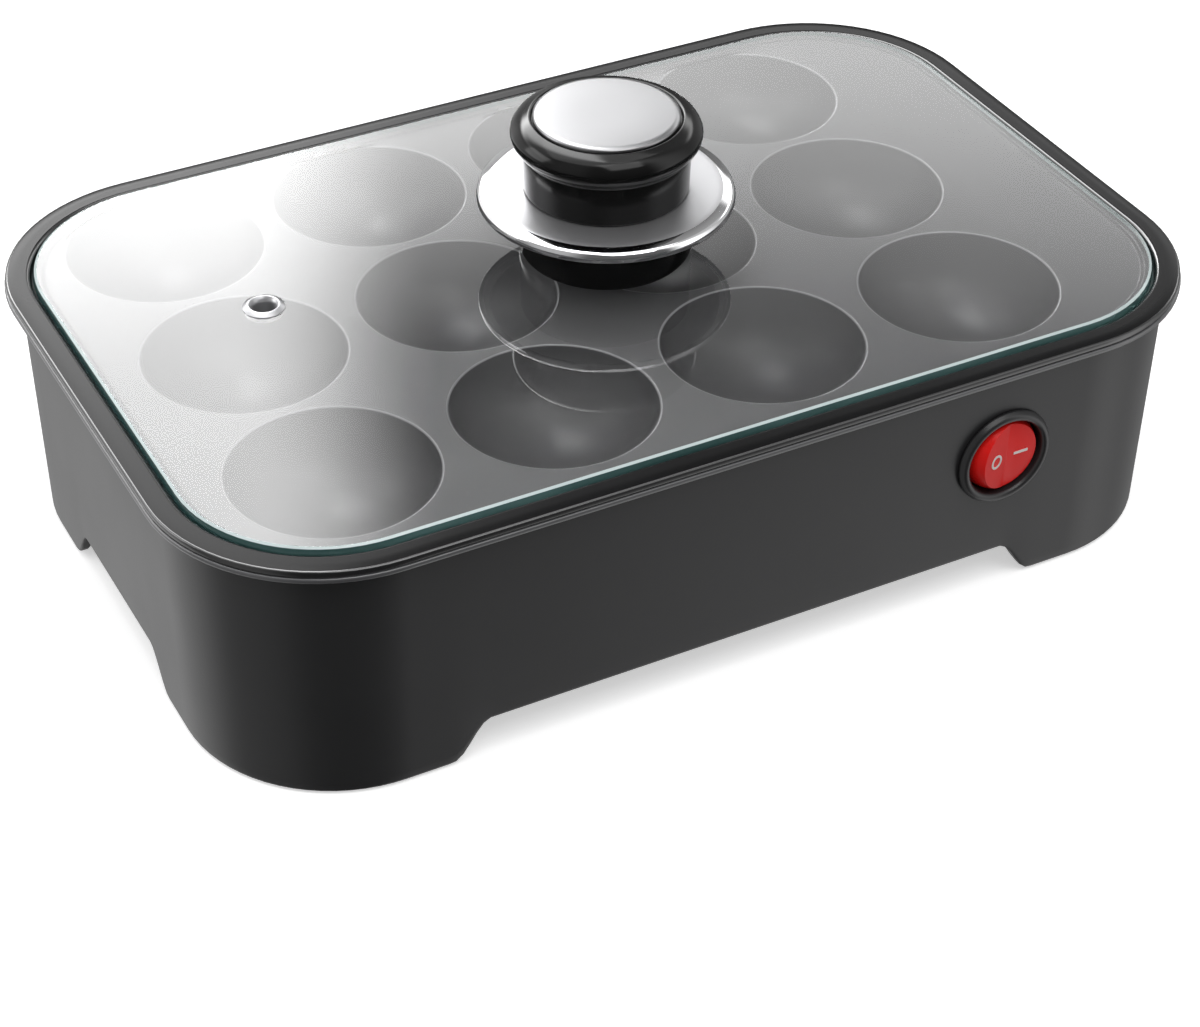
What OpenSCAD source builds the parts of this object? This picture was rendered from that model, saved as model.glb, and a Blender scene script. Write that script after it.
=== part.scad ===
// Countertop takoyaki maker: a drafted box housing, a cast cooking plate with
// a grid of half-round cups, a tubular heating element under it, a rocker
// switch in the front wall and a lift-off glass lid with a knob.
// Millimetres. Z is up from the table, the switch side faces -Y, and the
// origin lies on the table under the middle of the rim.

/* [Rim and housing] */
// Length of the rim, the widest part of the appliance
rim_w = 242.8; // [236:0.2:262]
// Depth of the rim, front to back
rim_d = 158.8; // [155:0.2:176]
// Corner radius of the rim
rim_r = 39; // [34:0.5:46]
// How far the rim stands out over the wall
rim_over = 3.2; // [2.4:0.1:5]
// Height of the underside of the housing's lip
lip_z = 58.6; // [56:0.2:70]
// Thickness of the housing's lip
lip_t = 1.2; // [0.8:0.1:2]
// Thickness of the housing wall
wall_t = 2.4; // [1.8:0.1:3]
// Thickness of the wall beside the cooking plate
rebate_wall = 1.3; // [0.8:0.1:1.6]

/* [Feet and arches] */
// Gap between the housing's lower edge and the table
edge_gap = 0.6; // [0.2:0.1:2]
// Height of the arches between the feet
arch_h = 9.8; // [6:0.2:12]
// Half length of the front and back arches at the top
front_arch = 63; // [50:1:70]
// Half length of the side arches at the top
side_arch = 20; // [12:1:26]
// Length of the curved end of an arch
arch_ramp = 9; // [5:0.5:12]
// Radius of a rubber foot
foot_r = 7.2; // [5:0.2:9]
// Thickness of a rubber foot
foot_t = 2.2; // [1.6:0.1:3]
// Radius of the leg that holds a foot
leg_r = 9; // [8.6:0.2:11]

/* [Cooking plate] */
// Most columns of cups; a shorter housing holds fewer
cups_x = 4; // [2:1:4]
// Most rows of cups; a narrower housing holds fewer
cups_y = 3; // [2:1:3]
// Least room beside the columns of cups for the element's bend and its ends
cups_room = 24; // [20:1:27]
// Cup pitch along the length
pitch_x = 50; // [49:0.5:52]
// Cup pitch front to back
pitch_y = 47; // [46.5:0.5:48]
// Place of the cup grid's middle along the length
grid_x = -8; // [-9:0.5:4]
// Place of the cup grid's middle front to back
grid_y = 2; // [-2:0.5:2]
// Inner radius of a cup
cup_r = 22; // [19:0.2:22.2]
// Height of a cup's centre over the cooking surface
cup_lift = 1.5; // [0.5:0.1:4]
// Wall of a cup
cup_t = 1.8; // [1.4:0.1:2]
// Size of the rounded-off edge at a cup's mouth
cup_edge = 0.7; // [0.3:0.1:1.2]
// Thickness of the plate under the cooking surface
plate_t = 2.2; // [1.8:0.1:3]
// Thickness of the plate's flange over the housing's lip
flange_t = 1.7; // [1.2:0.1:3]
// Gap between the plate and the housing wall
plate_gap = 0.4; // [0.2:0.1:0.8]
// Depth of the cooking surface under the glass seat
tray_depth = 1.1; // [0.8:0.1:3]

/* [Glass lid] */
// Distance from the rim's edge to the glass
glass_inset = 6.4; // [6:0.1:9]
// Thickness of the glass
glass_t = 3; // [2.5:0.1:4]
// Play of the glass in its seat
glass_play = 0.4; // [0.2:0.1:1]
// Width of the seat under the glass
seat_w = 2; // [1.5:0.1:3]
// Height of the glass's upper face over the plate's flange
glass_proud = 0.8; // [0.4:0.1:1.4]
// Radius of the knob hole in the glass
glass_hole = 4; // [3:0.1:5]

/* [Knob] */
// Place of the knob along the length
knob_x = 4; // [-2:0.5:8]
// Place of the knob front to back
knob_y = 2.5; // [-2:0.5:6]
// Radius of the knob's base
knob_base_r = 19.3; // [16:0.1:24]
// Height of the knob's base, from the glass up to the skirt
knob_base_h = 14.8; // [12:0.2:18]
// Radius of the knob's metal skirt
skirt_r = 28.6; // [24:0.2:34]
// Thickness of the skirt
skirt_t = 1.2; // [0.8:0.1:2]
// Height of the skirt's turned-down edge
skirt_edge = 3; // [2:0.1:6]
// Radius of the grip's neck
neck_r = 18.4; // [14:0.1:20]
// Radius of the grip's rim
grip_r = 21.3; // [20.4:0.1:26]
// Height of the grip's top over the glass
grip_top = 33.2; // [29:0.2:40]
// Radius of the metal cap
cap_r = 16.2; // [12:0.2:18]
// Height of the cap over the grip
cap_h = 0.8; // [0.4:0.1:2]
// Radius of the knob's screw
knob_screw_r = 2; // [1.5:0.1:2.5]

/* [Steam vent] */
// Place of the steam vent along the length
vent_x = -73.5; // [-90:0.5:-60]
// Place of the steam vent front to back
vent_y = 14; // [-10:0.5:20]
// Bore radius of the vent's eyelet
vent_bore = 2.5; // [1.5:0.1:3]
// Radius of the eyelet's flange
vent_flange = 4.7; // [4.2:0.1:7]

/* [Switch] */
// Distance from the switch's middle to the right wall's outside
switch_x = 57.8; // [52:0.2:68]
// Height of the switch's middle
switch_z = 36.6; // [32:0.2:40]
// Radius of the switch's bezel
bezel_r = 11.6; // [11:0.1:13]
// How far the bezel stands out of the wall
bezel_t = 1.6; // [1:0.1:2.4]
// Radius of the round hole for the switch
switch_hole = 10.1; // [9.9:0.1:10.6]
// Length of the switch's barrel behind the wall
barrel_len = 9; // [8:0.5:9.5]
// Radius of the rocker
rocker_r = 9.1; // [8.6:0.1:9.2]
// Slope of each half of the rocker's face
rocker_slope = 9; // [5:0.5:10]
// Radius of the rocker's pin
pin_r = 1; // [0.7:0.1:1.2]

/* [Heating] */
// Radius of the heating element's tube
element_r = 3.25; // [2.5:0.05:3.3]
// Gap between the element and the cups
element_gap = 0.4; // [0.3:0.1:1]
// Distance from the element's ends to the housing's right wall
element_end = 16.8; // [14.8:0.2:20]
// Thickness of a clamp plate
clamp_t = 1.2; // [0.8:0.1:2]
// Height of the heat shield
shield_z = 26; // [23:0.5:27]
// Thickness of the heat shield
shield_t = 0.8; // [0.5:0.1:1.5]
// Radius of the thermostat
thermostat_r = 8; // [6:0.2:8.5]

/* [Bottom cover and cord] */
// Height of the bottom cover's underside
cover_z = 10.2; // [10:0.1:14]
// Thickness of the bottom cover
cover_t = 2; // [1.5:0.1:3]
// Gap between the bottom cover and the housing wall
cover_gap = 0.5; // [0.2:0.1:1]
// Distance from the gland's middle to the right wall's outside
gland_x = 46.2; // [46:0.2:56]
// Height of the cord's gland
gland_z = 33; // [32:0.5:38]
// Bore radius of the cord's gland
gland_bore = 3.6; // [2.5:0.1:4.5]
// Outer radius of the gland's thread
gland_r = 6; // [5.5:0.1:8]
// Radius of the shank of the housing's screws
screw_r = 1.5; // [1.2:0.1:2]
// Radius of the head of the housing's screws
screw_head = 2.9; // [2.4:0.1:3.4]

/* [Hidden] */
$fn = 48;

black = [0.06, 0.06, 0.065];
dark_grey = [0.2, 0.2, 0.21];
plate_grey = [0.3, 0.3, 0.31];
steel = [0.72, 0.73, 0.75];
red = [0.78, 0.1, 0.1];
white = [0.95, 0.95, 0.93];
glass_tint = [0.75, 0.85, 0.82, 0.4];

corner_steps = 14;           // flats in each rounded corner
cut = 1;                     // how far a cutting shape runs past a face

// Housing
wall_w = rim_w - 2 * rim_over;
wall_d = rim_d - 2 * rim_over;
wall_r = rim_r - rim_over;
front_y = -wall_d / 2;       // outer face of the front wall
back_y = wall_d / 2;
lip_top = lip_z + lip_t;

// Cooking plate and glass
flange_top = lip_top + flange_t;
glass_top = flange_top + glass_proud;
seat_z = glass_top - glass_t;
surface_z = seat_z - tray_depth;
plate_z = surface_z - plate_t;
rebate_z = plate_z - plate_gap;
glass_w = rim_w - 2 * glass_inset;
glass_d = rim_d - 2 * glass_inset;
glass_r = rim_r - glass_inset;
cup_z = surface_z + cup_lift;
mouth_r = sqrt(pow(cup_r, 2) - pow(cup_lift, 2));
cup_out = cup_r + cup_t;
inner_w = wall_w - 2 * wall_t;
inner_d = wall_d - 2 * wall_t;
columns = min(cups_x, 1 + floor((inner_w - cups_room - 2 * cup_out) / pitch_x));
rows = min(cups_y, 1 + floor((inner_d - 2 * cup_out) / pitch_y));
cups_end = (columns - 1) / 2 * pitch_x;         // from the grid's middle to its last column
cups = [for (i = [0 : columns - 1], j = [0 : rows - 1])
    [grid_x - cups_end + i * pitch_x, grid_y + (j - (rows - 1) / 2) * pitch_y]];

// Heating element: it runs midway between three rows of cups, or under the
// inner flanks of two rows, as high as the cups let it
leg_beside = rows % 2 == 1 ? pitch_y / 2 : 10.5;    // from a leg to the nearest row's middle
leg_y = rows % 2 == 1 ? leg_beside : pitch_y / 2 - leg_beside;
bend_x = grid_x - cups_end;
element_x = wall_w / 2 - wall_t - element_end;
element_reach = cup_out + element_r + element_gap;
element_z = cup_z - sqrt(pow(element_reach, 2) - pow(leg_beside, 2));
clamp_z = element_z - element_r;
clamp_boss_r = 3.5;
clamp_offset = element_r + clamp_boss_r + 1.5;
clamps = [for (i = [1 : columns - 1], s = [-1, 1])
    [grid_x + (i - columns / 2) * pitch_x, s]];
insulator_len = 6;
insulator_lap = 2;            // of an insulator over the tube's end
insulator_r = element_r + 1.2;
terminal_len = 5;

// Fasteners
pilot_r = screw_r;
thread_len = 6;
thread_free = 1;              // between a screw's tip and the end of its hole
head_h = 2;
tab_t = 3;
tab_z = 40;
plate_boss_r = 4;
plate_boss_in = 8;            // from the wall to a boss's middle
plate_boss_x = cups_end - pitch_x / 2;
plate_boss_y = inner_d / 2 - plate_boss_in;
plate_bosses = [for (sx = [-1, 1], sy = [-1, 1]) [grid_x + sx * plate_boss_x, sy * plate_boss_y]];
cover_top = cover_z + cover_t;
cover_boss_r = 4.2;
cover_boss_h = 8;
cover_boss_end = 38;          // from the end wall's outside to a boss's middle
cover_boss_in = 7;
cover_boss_x = wall_w / 2 - cover_boss_end;
cover_boss_y = inner_d / 2 - cover_boss_in;
cover_bosses = [for (sx = [-1, 1], sy = [-1, 1]) [sx * cover_boss_x, sy * cover_boss_y]];

// Feet: the legs stand in the housing's rounded corners
leg_gap = 1;
leg_reach = (wall_r - wall_t - leg_r - leg_gap) * sin(45);
leg_x = wall_w / 2 - wall_r + leg_reach;
leg_y_place = wall_d / 2 - wall_r + leg_reach;
legs = [for (sx = [-1, 1], sy = [-1, 1]) [sx * leg_x, sy * leg_y_place]];
foot_inset = 1;

// Heat shield
shield_past = 4;              // how far it reaches past the end cups
shield_free = 2;              // from the shield to the cover's bosses
shield_r = 20;
shield_w = 2 * (cups_end + cup_out + shield_past);
shield_d = 2 * (cover_boss_y - cover_boss_r - shield_free);
spacer_r = 4;
spacer_in_x = 18;
spacer_in_y = 12;
spacers = [for (sx = [-1, 1], sy = [-1, 1])
    [grid_x + sx * (shield_w / 2 - spacer_in_x), sy * (shield_d / 2 - spacer_in_y)]];

// Thermostat, in the margin to the right of the cups
margin_x = (grid_x + cups_end + cup_out + inner_w / 2) / 2;
thermostat_pad = 2;
thermostat_h = 7;
tab_h = 6;                    // of the thermostat's two blades
tab_w = 6;
blade_t = 0.8;
tab_out = 4;
fuse_r = 2;
fuse_len = 10;
fuse_y = grid_y + thermostat_r + 3.5;

// Switch
rocker_depth = 4;                               // from the rocker's crease back to its pin
rocker_recess = bezel_t - 0.4;                  // of the pressed half, under the bezel
switch_at = wall_w / 2 - switch_x;
pivot_y = front_y - bezel_t + rocker_recess + rocker_depth;
barrel_r = switch_hole - 0.15;
barrel_bore = rocker_r + 0.2;
barrel_back = front_y + wall_t + barrel_len;
pin_play = 0.05;
mark_t = 0.15;

blade_len = 8;
blade_z = [switch_z, switch_z - 6];

// Terminal block and cord gland
block_back = 43.2;                              // from the block to the back wall's outside
block_x = margin_x;
block_w = 12;
block_d = 30;
block_h = 12;
block_pitch = 9;
block_y = back_y - block_back - block_d / 2;
block_z = cover_top + 5;
gland_at = wall_w / 2 - gland_x;
gland_in = 12;
gland_flange = 2.2;
nut_wide = 3.5;
nut_t = 4;

// Insulated leads inside the housing, each along its own points. They pass
// under the cups, beside the heat shield and along the right-hand margin.
lead_r = 1.3;
lead_gap = lead_r + 0.2;
under_cups = shield_z + shield_t + 2.4;
under_leg = element_z - insulator_r - lead_gap - 3;
blade_end = barrel_back + blade_len + lead_gap;
shield_edge = grid_x + shield_w / 2;
side_x = wall_w / 2 - wall_t - 2.5 * lead_r;
tip_x = element_x + insulator_len + terminal_len - 1.5 + lead_gap;
thermostat_tip = plate_z - thermostat_pad - thermostat_h - tab_h - lead_gap;
fuse_z = plate_z - fuse_r - 0.2;
block_side = block_x - block_w / 2;
leads = [
    // Terminal block to the switch's lower blade
    [[switch_at, blade_end, blade_z[1]], [switch_at + 7, blade_end + 1, under_cups],
        [shield_edge + 3, blade_end - 2, under_cups], [shield_edge + 5, -30, 24],
        [shield_edge + 3, -10, 18], [block_side - 3.5, block_y - block_pitch - 4, block_z],
        [block_side - 3, block_y - block_pitch, block_z], [block_x - 4, block_y - block_pitch, block_z]],
    // Switch's upper blade to the thermostat
    [[switch_at, blade_end, blade_z[0]], [switch_at + 8, blade_end, under_cups + 3],
        [shield_edge + 4, blade_end - 6, under_cups + 4], [margin_x, grid_y, under_leg],
        [margin_x, grid_y - tab_out, thermostat_tip]],
    // Thermostat to the element's front end
    [[margin_x, grid_y + tab_out, thermostat_tip], [margin_x + 5, grid_y - 2, thermostat_tip - 1],
        [side_x, grid_y - 14, element_z - 3], [tip_x, grid_y - leg_y, element_z]],
    // Element's back end to the fuse
    [[tip_x, grid_y + leg_y, element_z], [side_x, grid_y + leg_y + 1, element_z + 5],
        [margin_x + 2, fuse_y + fuse_len + 4, fuse_z], [margin_x, fuse_y + fuse_len + lead_gap, fuse_z]],
    // Fuse to the terminal block
    [[margin_x, fuse_y - lead_gap, fuse_z], [margin_x + 6, fuse_y - lead_gap, fuse_z - 3],
        [side_x, grid_y + 18, element_z - 5], [side_x, block_y + block_pitch, block_z + 4],
        [block_x + block_w / 2 + 2, block_y + block_pitch, block_z],
        [block_x + 4, block_y + block_pitch, block_z]],
    // Cord gland to the terminal block
    [[gland_at, back_y - gland_in - lead_gap, gland_z], [shield_edge + 3, back_y - 18, shield_z - 2],
        [shield_edge + 4, back_y - 34, block_z], [block_side - 4, block_y + 12, block_z],
        [block_side - 3.5, block_y, block_z], [block_x - 4, block_y, block_z]]];

// Knob
knob_bottom = glass_top;
skirt_top = knob_base_h + skirt_t;
skirt_turn = skirt_t + 0.4;                     // radius of the bend in the skirt's edge
grip_round = 3;                                 // radius of the grip's rim in section
grip_drop = 3.6;                                // from the grip's top to its widest
insert_r = 5;
insert_under = 6;                               // from the insert's top to the grip's
insert_solid = 4;                               // of the insert over the end of its thread
cap_seat = 1;
washer_t = 0.8;
gasket_t = 0.5;
washer_r = 7.5;
knob_thread = 14;                               // of the screw, up in the insert
knob_head_h = 1.8;
knob_head_r = 4.2;

// Dish in the cooking plate that clears the lid's screw where no cup lies under it
dish_play = 0.4;
dish_r = knob_head_r + dish_play;
dish_z = seat_z - gasket_t - washer_t - knob_head_h - dish_play;

// Points of an arc about c, from angle a to angle b
function arc(c, r, a, b, n) =
    [for (i = [0 : n]) c + r * [cos(a + (b - a) * i / n), sin(a + (b - a) * i / n)]];

// Outline of a rectangle with round corners, about the origin
function rounded(w, d, r) = concat(
    arc([w / 2 - r, d / 2 - r], r, 0, 90, corner_steps),
    arc([r - w / 2, d / 2 - r], r, 90, 180, corner_steps),
    arc([r - w / 2, r - d / 2], r, 180, 270, corner_steps),
    arc([w / 2 - r, r - d / 2], r, 270, 360, corner_steps));

// Outline of an arch: flat on top, with S-curved ends that flare to the table
function arch(half, ramp, h) = concat(
    [for (i = [0 : 8]) [half + ramp * (1 - i / 8), h * (1 - cos(180 * i / 8)) / 2]],
    [for (i = [8 : -1 : 0]) [-half - ramp * (1 - i / 8), h * (1 - cos(180 * i / 8)) / 2]],
    [[-half - ramp, -2 * cut], [half + ramp, -2 * cut]]);

module slab(w, d, r, h) { linear_extrude(h) polygon(rounded(w, d, r)); }
module at(place, z) { translate([place[0], place[1], z]) children(); }

// A round-headed screw that points up from z, with its head below
module screw_up(shank, len, head, h) {
    cylinder(r = shank, h = len);
    translate([0, 0, -h]) cylinder(r1 = head * 0.72, r2 = head, h = h);
}

module housing() color(dark_grey) {
    difference() {
        union() {
            difference() {
                union() {
                    translate([0, 0, edge_gap]) slab(wall_w, wall_d, wall_r, lip_z - edge_gap + cut / 2);
                    translate([0, 0, lip_z]) slab(rim_w, rim_d, rim_r, lip_t);
                }
                translate([0, 0, -cut])
                    slab(wall_w - 2 * wall_t, wall_d - 2 * wall_t, wall_r - wall_t, lip_top + 2 * cut);
                translate([0, 0, rebate_z])
                    slab(wall_w - 2 * rebate_wall, wall_d - 2 * rebate_wall, wall_r - rebate_wall, lip_top);
                rotate([90, 0, 0]) linear_extrude(2 * rim_d, center = true)
                    polygon(arch(front_arch, arch_ramp, arch_h));
                rotate([90, 0, 90]) linear_extrude(2 * rim_w, center = true)
                    polygon(arch(side_arch, arch_ramp, arch_h));
            }
            for (p = plate_bosses) plate_tab(p);
            for (p = cover_bosses) cover_boss(p);
        }
        translate([switch_at, front_y - cut, switch_z]) rotate([-90, 0, 0])
            cylinder(r = switch_hole, h = wall_t + 2 * cut);
        translate([gland_at, back_y + cut, gland_z]) rotate([90, 0, 0])
            cylinder(r = gland_r, h = wall_t + 2 * cut);
        for (p = plate_bosses) at(p, tab_z - cut) cylinder(r = screw_r + 0.2, h = tab_t + 2 * cut);
        for (p = cover_bosses) at(p, cover_top - cut) cylinder(r = pilot_r, h = thread_len + cut);
    }
}

// Tab on the long wall that a plate screw goes up through
module plate_tab(p) {
    side = sign(p[1]);
    reach = wall_d / 2 - wall_t / 2 - plate_boss_y + plate_boss_r + 1;
    translate([p[0] - 6, side * (wall_d / 2 - wall_t / 2 - reach / 2) - reach / 2, tab_z])
        cube([12, reach, tab_t]);
}

// Boss on the long wall that a cover screw goes into
module cover_boss(p) {
    side = sign(p[1]);
    web = wall_d / 2 - wall_t / 2 - cover_boss_y;
    at(p, cover_top) cylinder(r = cover_boss_r, h = cover_boss_h);
    translate([p[0] - 1.5, side * (cover_boss_y + web / 2) - web / 2, cover_top])
        cube([3, web, cover_boss_h]);
}

module bottom_cover() color(dark_grey) {
    side = 2 * (wall_t + cover_gap);
    difference() {
        union() {
            translate([0, 0, cover_z])
                slab(wall_w - side, wall_d - side, wall_r - wall_t - cover_gap, cover_t);
            for (p = legs) at(p, edge_gap) cylinder(r = leg_r, h = cover_z - edge_gap + cover_t / 2);
        }
        for (p = legs) at(p, -cut) cylinder(r = foot_r + 0.2, h = foot_t + cut);
        for (p = cover_bosses) at(p, cover_z - cut) cylinder(r = screw_r + 0.2, h = cover_t + 2 * cut);
        for (i = [-6 : 6], s = [-1, 1])
            translate([i * 9 - 1.5, s * 32 - 14, cover_z - cut]) cube([3, 28, cover_t + 2 * cut]);
    }
}

module foot_pads() color(black) for (p = legs) at(p, 0) cylinder(r = foot_r, h = foot_t);

module cover_screws() color(steel) for (p = cover_bosses) at(p, cover_z)
    screw_up(screw_r, cover_t + thread_len - thread_free, screw_head, head_h);

module cooking_plate() color(plate_grey) {
    fit = 2 * (rebate_wall + plate_gap);
    seat = 2 * glass_play;
    difference() {
        union() {
            translate([0, 0, lip_top]) slab(rim_w - 0.6, rim_d - 0.6, rim_r - 0.3, flange_t);
            translate([0, 0, plate_z])
                slab(wall_w - fit, wall_d - fit, wall_r - fit / 2, lip_top - plate_z + flange_t / 2);
            for (c = cups) at(c, 0) intersection() {
                translate([0, 0, cup_z]) sphere(r = cup_r + cup_t, $fn = 96);
                translate([0, 0, surface_z - plate_t / 2 - 40]) cylinder(r = 40, h = 40);
            }
            for (p = plate_bosses) at(p, tab_z + tab_t)
                cylinder(r = plate_boss_r, h = plate_z - tab_z - tab_t + plate_t / 2);
            for (c = clamps) {
                at([c[0], grid_y + c[1] * (leg_y - clamp_offset)], clamp_z)
                    cylinder(r = clamp_boss_r, h = plate_z - clamp_z + plate_t / 2);
                translate([c[0] - 2.5, grid_y + c[1] * leg_y - 2, element_z + element_r])
                    cube([5, 4, plate_z - element_z - element_r + plate_t / 2]);
            }
            at([margin_x, grid_y], plate_z - thermostat_pad)
                cylinder(r = thermostat_r + 0.5, h = thermostat_pad + plate_t / 2);
            at([knob_x, knob_y], dish_z - plate_t)
                cylinder(r = dish_r + plate_t, h = surface_z - dish_z + plate_t / 2);
        }
        translate([0, 0, seat_z]) slab(glass_w + seat, glass_d + seat, glass_r + glass_play, glass_t + cut);
        translate([0, 0, surface_z])
            slab(glass_w - 2 * seat_w, glass_d - 2 * seat_w, glass_r - seat_w, tray_depth + glass_t + cut);
        at([knob_x, knob_y], dish_z) cylinder(r = dish_r, h = surface_z - dish_z + cut);
        at([knob_x, knob_y], seat_z - gasket_t - washer_t - dish_play)
            cylinder(r = washer_r + dish_play, h = gasket_t + washer_t + cut);
        for (c = cups) at(c, cup_z) sphere(r = cup_r, $fn = 96);
        for (c = cups) at(c, surface_z - cup_edge)
            cylinder(r1 = mouth_r - cup_edge * 0.3, r2 = mouth_r + cup_edge * 0.7, h = 2 * cup_edge, $fn = 96);
        for (p = plate_bosses) at(p, tab_z + tab_t - cut) cylinder(r = pilot_r, h = thread_len + cut);
        for (c = clamps) at([c[0], grid_y + c[1] * (leg_y - clamp_offset)], clamp_z - cut)
            cylinder(r = pilot_r, h = thread_len + cut);
    }
}

module plate_screws() color(steel) for (p = plate_bosses) at(p, tab_z)
    screw_up(screw_r, tab_t + thread_len - thread_free, screw_head, head_h);

module heating_element() color(steel) {
    for (s = [-1, 1]) translate([bend_x, grid_y + s * leg_y, element_z]) rotate([0, 90, 0])
        cylinder(r = element_r, h = element_x - bend_x);
    translate([bend_x, grid_y, element_z]) rotate([0, 0, 90])
        rotate_extrude(angle = 180, $fn = 96) translate([leg_y, 0]) circle(r = element_r);
}

module element_insulators() color(white) for (s = [-1, 1])
    translate([element_x - insulator_lap, grid_y + s * leg_y, element_z]) rotate([0, 90, 0]) difference() {
        cylinder(r = insulator_r, h = insulator_len);
        translate([0, 0, -cut]) cylinder(r = element_r, h = insulator_lap + cut);
        cylinder(r = 1.2, h = insulator_len + cut);
    }

module element_terminals() color(steel) for (s = [-1, 1])
    translate([element_x, grid_y + s * leg_y, element_z]) {
        rotate([0, 90, 0]) cylinder(r = 1.2, h = insulator_len);
        translate([insulator_len - 1.5, -3, -0.4]) cube([terminal_len, 6, 0.8]);
    }

module element_clamps() color(steel) for (c = clamps)
    translate([c[0], grid_y + c[1] * (leg_y - clamp_offset / 2), clamp_z - clamp_t]) difference() {
        translate([-4.5, -clamp_offset / 2 - 4.5, 0]) cube([9, clamp_offset + 9, clamp_t]);
        translate([0, -c[1] * clamp_offset / 2, -cut]) cylinder(r = screw_r + 0.2, h = clamp_t + 2 * cut);
    }

module clamp_screws() color(steel) for (c = clamps)
    at([c[0], grid_y + c[1] * (leg_y - clamp_offset)], clamp_z - clamp_t)
        screw_up(screw_r, clamp_t + thread_len - thread_free, screw_head, head_h);

module heat_shield() color(steel) {
    difference() {
        translate([grid_x, 0, shield_z]) slab(shield_w, shield_d, shield_r, shield_t);
        for (p = spacers) at(p, shield_z - cut) cylinder(r = screw_r + 0.2, h = shield_t + 2 * cut);
    }
}

module shield_spacers() color(steel) for (p = spacers) at(p, cover_top) difference() {
    cylinder(r = spacer_r, h = shield_z - cover_top);
    translate([0, 0, shield_z - cover_top - thread_len]) cylinder(r = pilot_r, h = thread_len + cut);
}

// These screws point down, through the shield into its spacers
module shield_screws() color(steel) for (p = spacers) at(p, shield_z + shield_t)
    mirror([0, 0, 1]) screw_up(screw_r, shield_t + thread_len - thread_free, screw_head, head_h);

module thermostat() color(black) at([margin_x, grid_y], plate_z - thermostat_pad - thermostat_h) {
    cylinder(r = thermostat_r, h = thermostat_h);
    for (s = [-1, 1]) translate([-tab_w / 2, s * tab_out - blade_t / 2, -tab_h])
        cube([tab_w, blade_t, tab_h + cut / 2]);
}

module thermal_fuse() color(white) translate([margin_x, fuse_y, plate_z - fuse_r - 0.2])
    rotate([-90, 0, 0]) cylinder(r = fuse_r, h = fuse_len);

module fuse_clip() color(steel) translate([margin_x, fuse_y + fuse_len / 2 - 2, plate_z]) {
    side = fuse_r + 0.3;
    for (s = [-1, 1]) translate([s * (side + 0.4) - 0.4, 0, -2 * fuse_r - 1]) cube([0.8, 4, 2 * fuse_r + 1]);
    translate([-side - 0.8, 0, -2 * fuse_r - 1.3]) cube([2 * side + 1.6, 4, 0.8]);
}

// Row of three wire clamps in an insulating block, on the bottom cover
module terminal_block() color(white) difference() {
    translate([block_x - block_w / 2, block_y - block_d / 2, cover_top]) cube([block_w, block_d, block_h]);
    for (i = [-1 : 1]) translate([block_x, block_y + i * block_pitch, cover_top + block_h - 3])
        cylinder(r = 2, h = 4);
    for (i = [-1 : 1]) translate([block_x - block_w, block_y + i * block_pitch, block_z]) rotate([0, 90, 0])
        cylinder(r = lead_r + 0.2, h = 2 * block_w);
}

module power_leads() color("firebrick") for (lead = leads) for (i = [0 : len(lead) - 2]) hull() {
    translate(lead[i]) sphere(r = lead_r, $fn = 8);
    translate(lead[i + 1]) sphere(r = lead_r, $fn = 8);
}

module cord_gland() color(black) translate([gland_at, back_y, gland_z]) rotate([-90, 0, 0]) difference() {
    union() {
        cylinder(r = gland_r + 3, h = gland_flange);
        translate([0, 0, -gland_in]) cylinder(r = gland_r, h = gland_in + 1);
    }
    translate([0, 0, -gland_in - cut]) cylinder(r = gland_bore, h = gland_in + gland_flange + 2 * cut);
}

module gland_nut() color(black)
translate([gland_at, back_y - wall_t, gland_z]) rotate([90, 0, 0]) difference() {
    cylinder(r = gland_r + nut_wide, h = nut_t, $fn = 6);
    translate([0, 0, -cut]) cylinder(r = gland_r, h = nut_t + 2 * cut);
}

// Places children about the rocker's pin, with -Y out of the front
module at_switch(y) { translate([switch_at, y, switch_z]) children(); }
module along_y(r, y0, y1) { at_switch(y0) rotate([-90, 0, 0]) cylinder(r = r, h = y1 - y0, $fn = 72); }

module switch_body() color(black) difference() {
    union() {
        along_y(bezel_r, front_y - bezel_t, front_y);
        along_y(barrel_r, front_y - bezel_t / 2, barrel_back);
    }
    along_y(barrel_bore, front_y - bezel_t - cut, pivot_y + rocker_r + 1);
    at_switch(pivot_y) translate([0, 0, -barrel_r - cut]) cylinder(r = pin_r, h = 2 * barrel_r + 2 * cut);
}

module switch_terminals() color(steel) for (z = blade_z)
    translate([switch_at - 2.4, barrel_back, z - 0.4]) cube([4.8, blade_len, 0.8]);

module rocker_pin() color(steel) at_switch(pivot_y) translate([0, 0, -barrel_r + 0.1])
    cylinder(r = pin_r, h = 2 * barrel_r - 0.2);

// Turned by its slope, so that the right half lies level and pressed in
module rocker_frame() { at_switch(pivot_y) rotate([0, 0, rocker_slope]) children(); }

module switch_rocker() color(red) rocker_frame() difference() {
    sphere(r = rocker_r, $fn = 96);
    rise = 20 * tan(rocker_slope);
    translate([0, 0, -20]) linear_extrude(40) polygon([[0, -rocker_depth], [20, -rocker_depth - rise],
        [20, -40], [-20, -40], [-20, -rocker_depth - rise]]);
    translate([-20, 3, -20]) cube(40);
    translate([0, 0, -20]) cylinder(r = pin_r + pin_play, h = 40);
}

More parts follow.
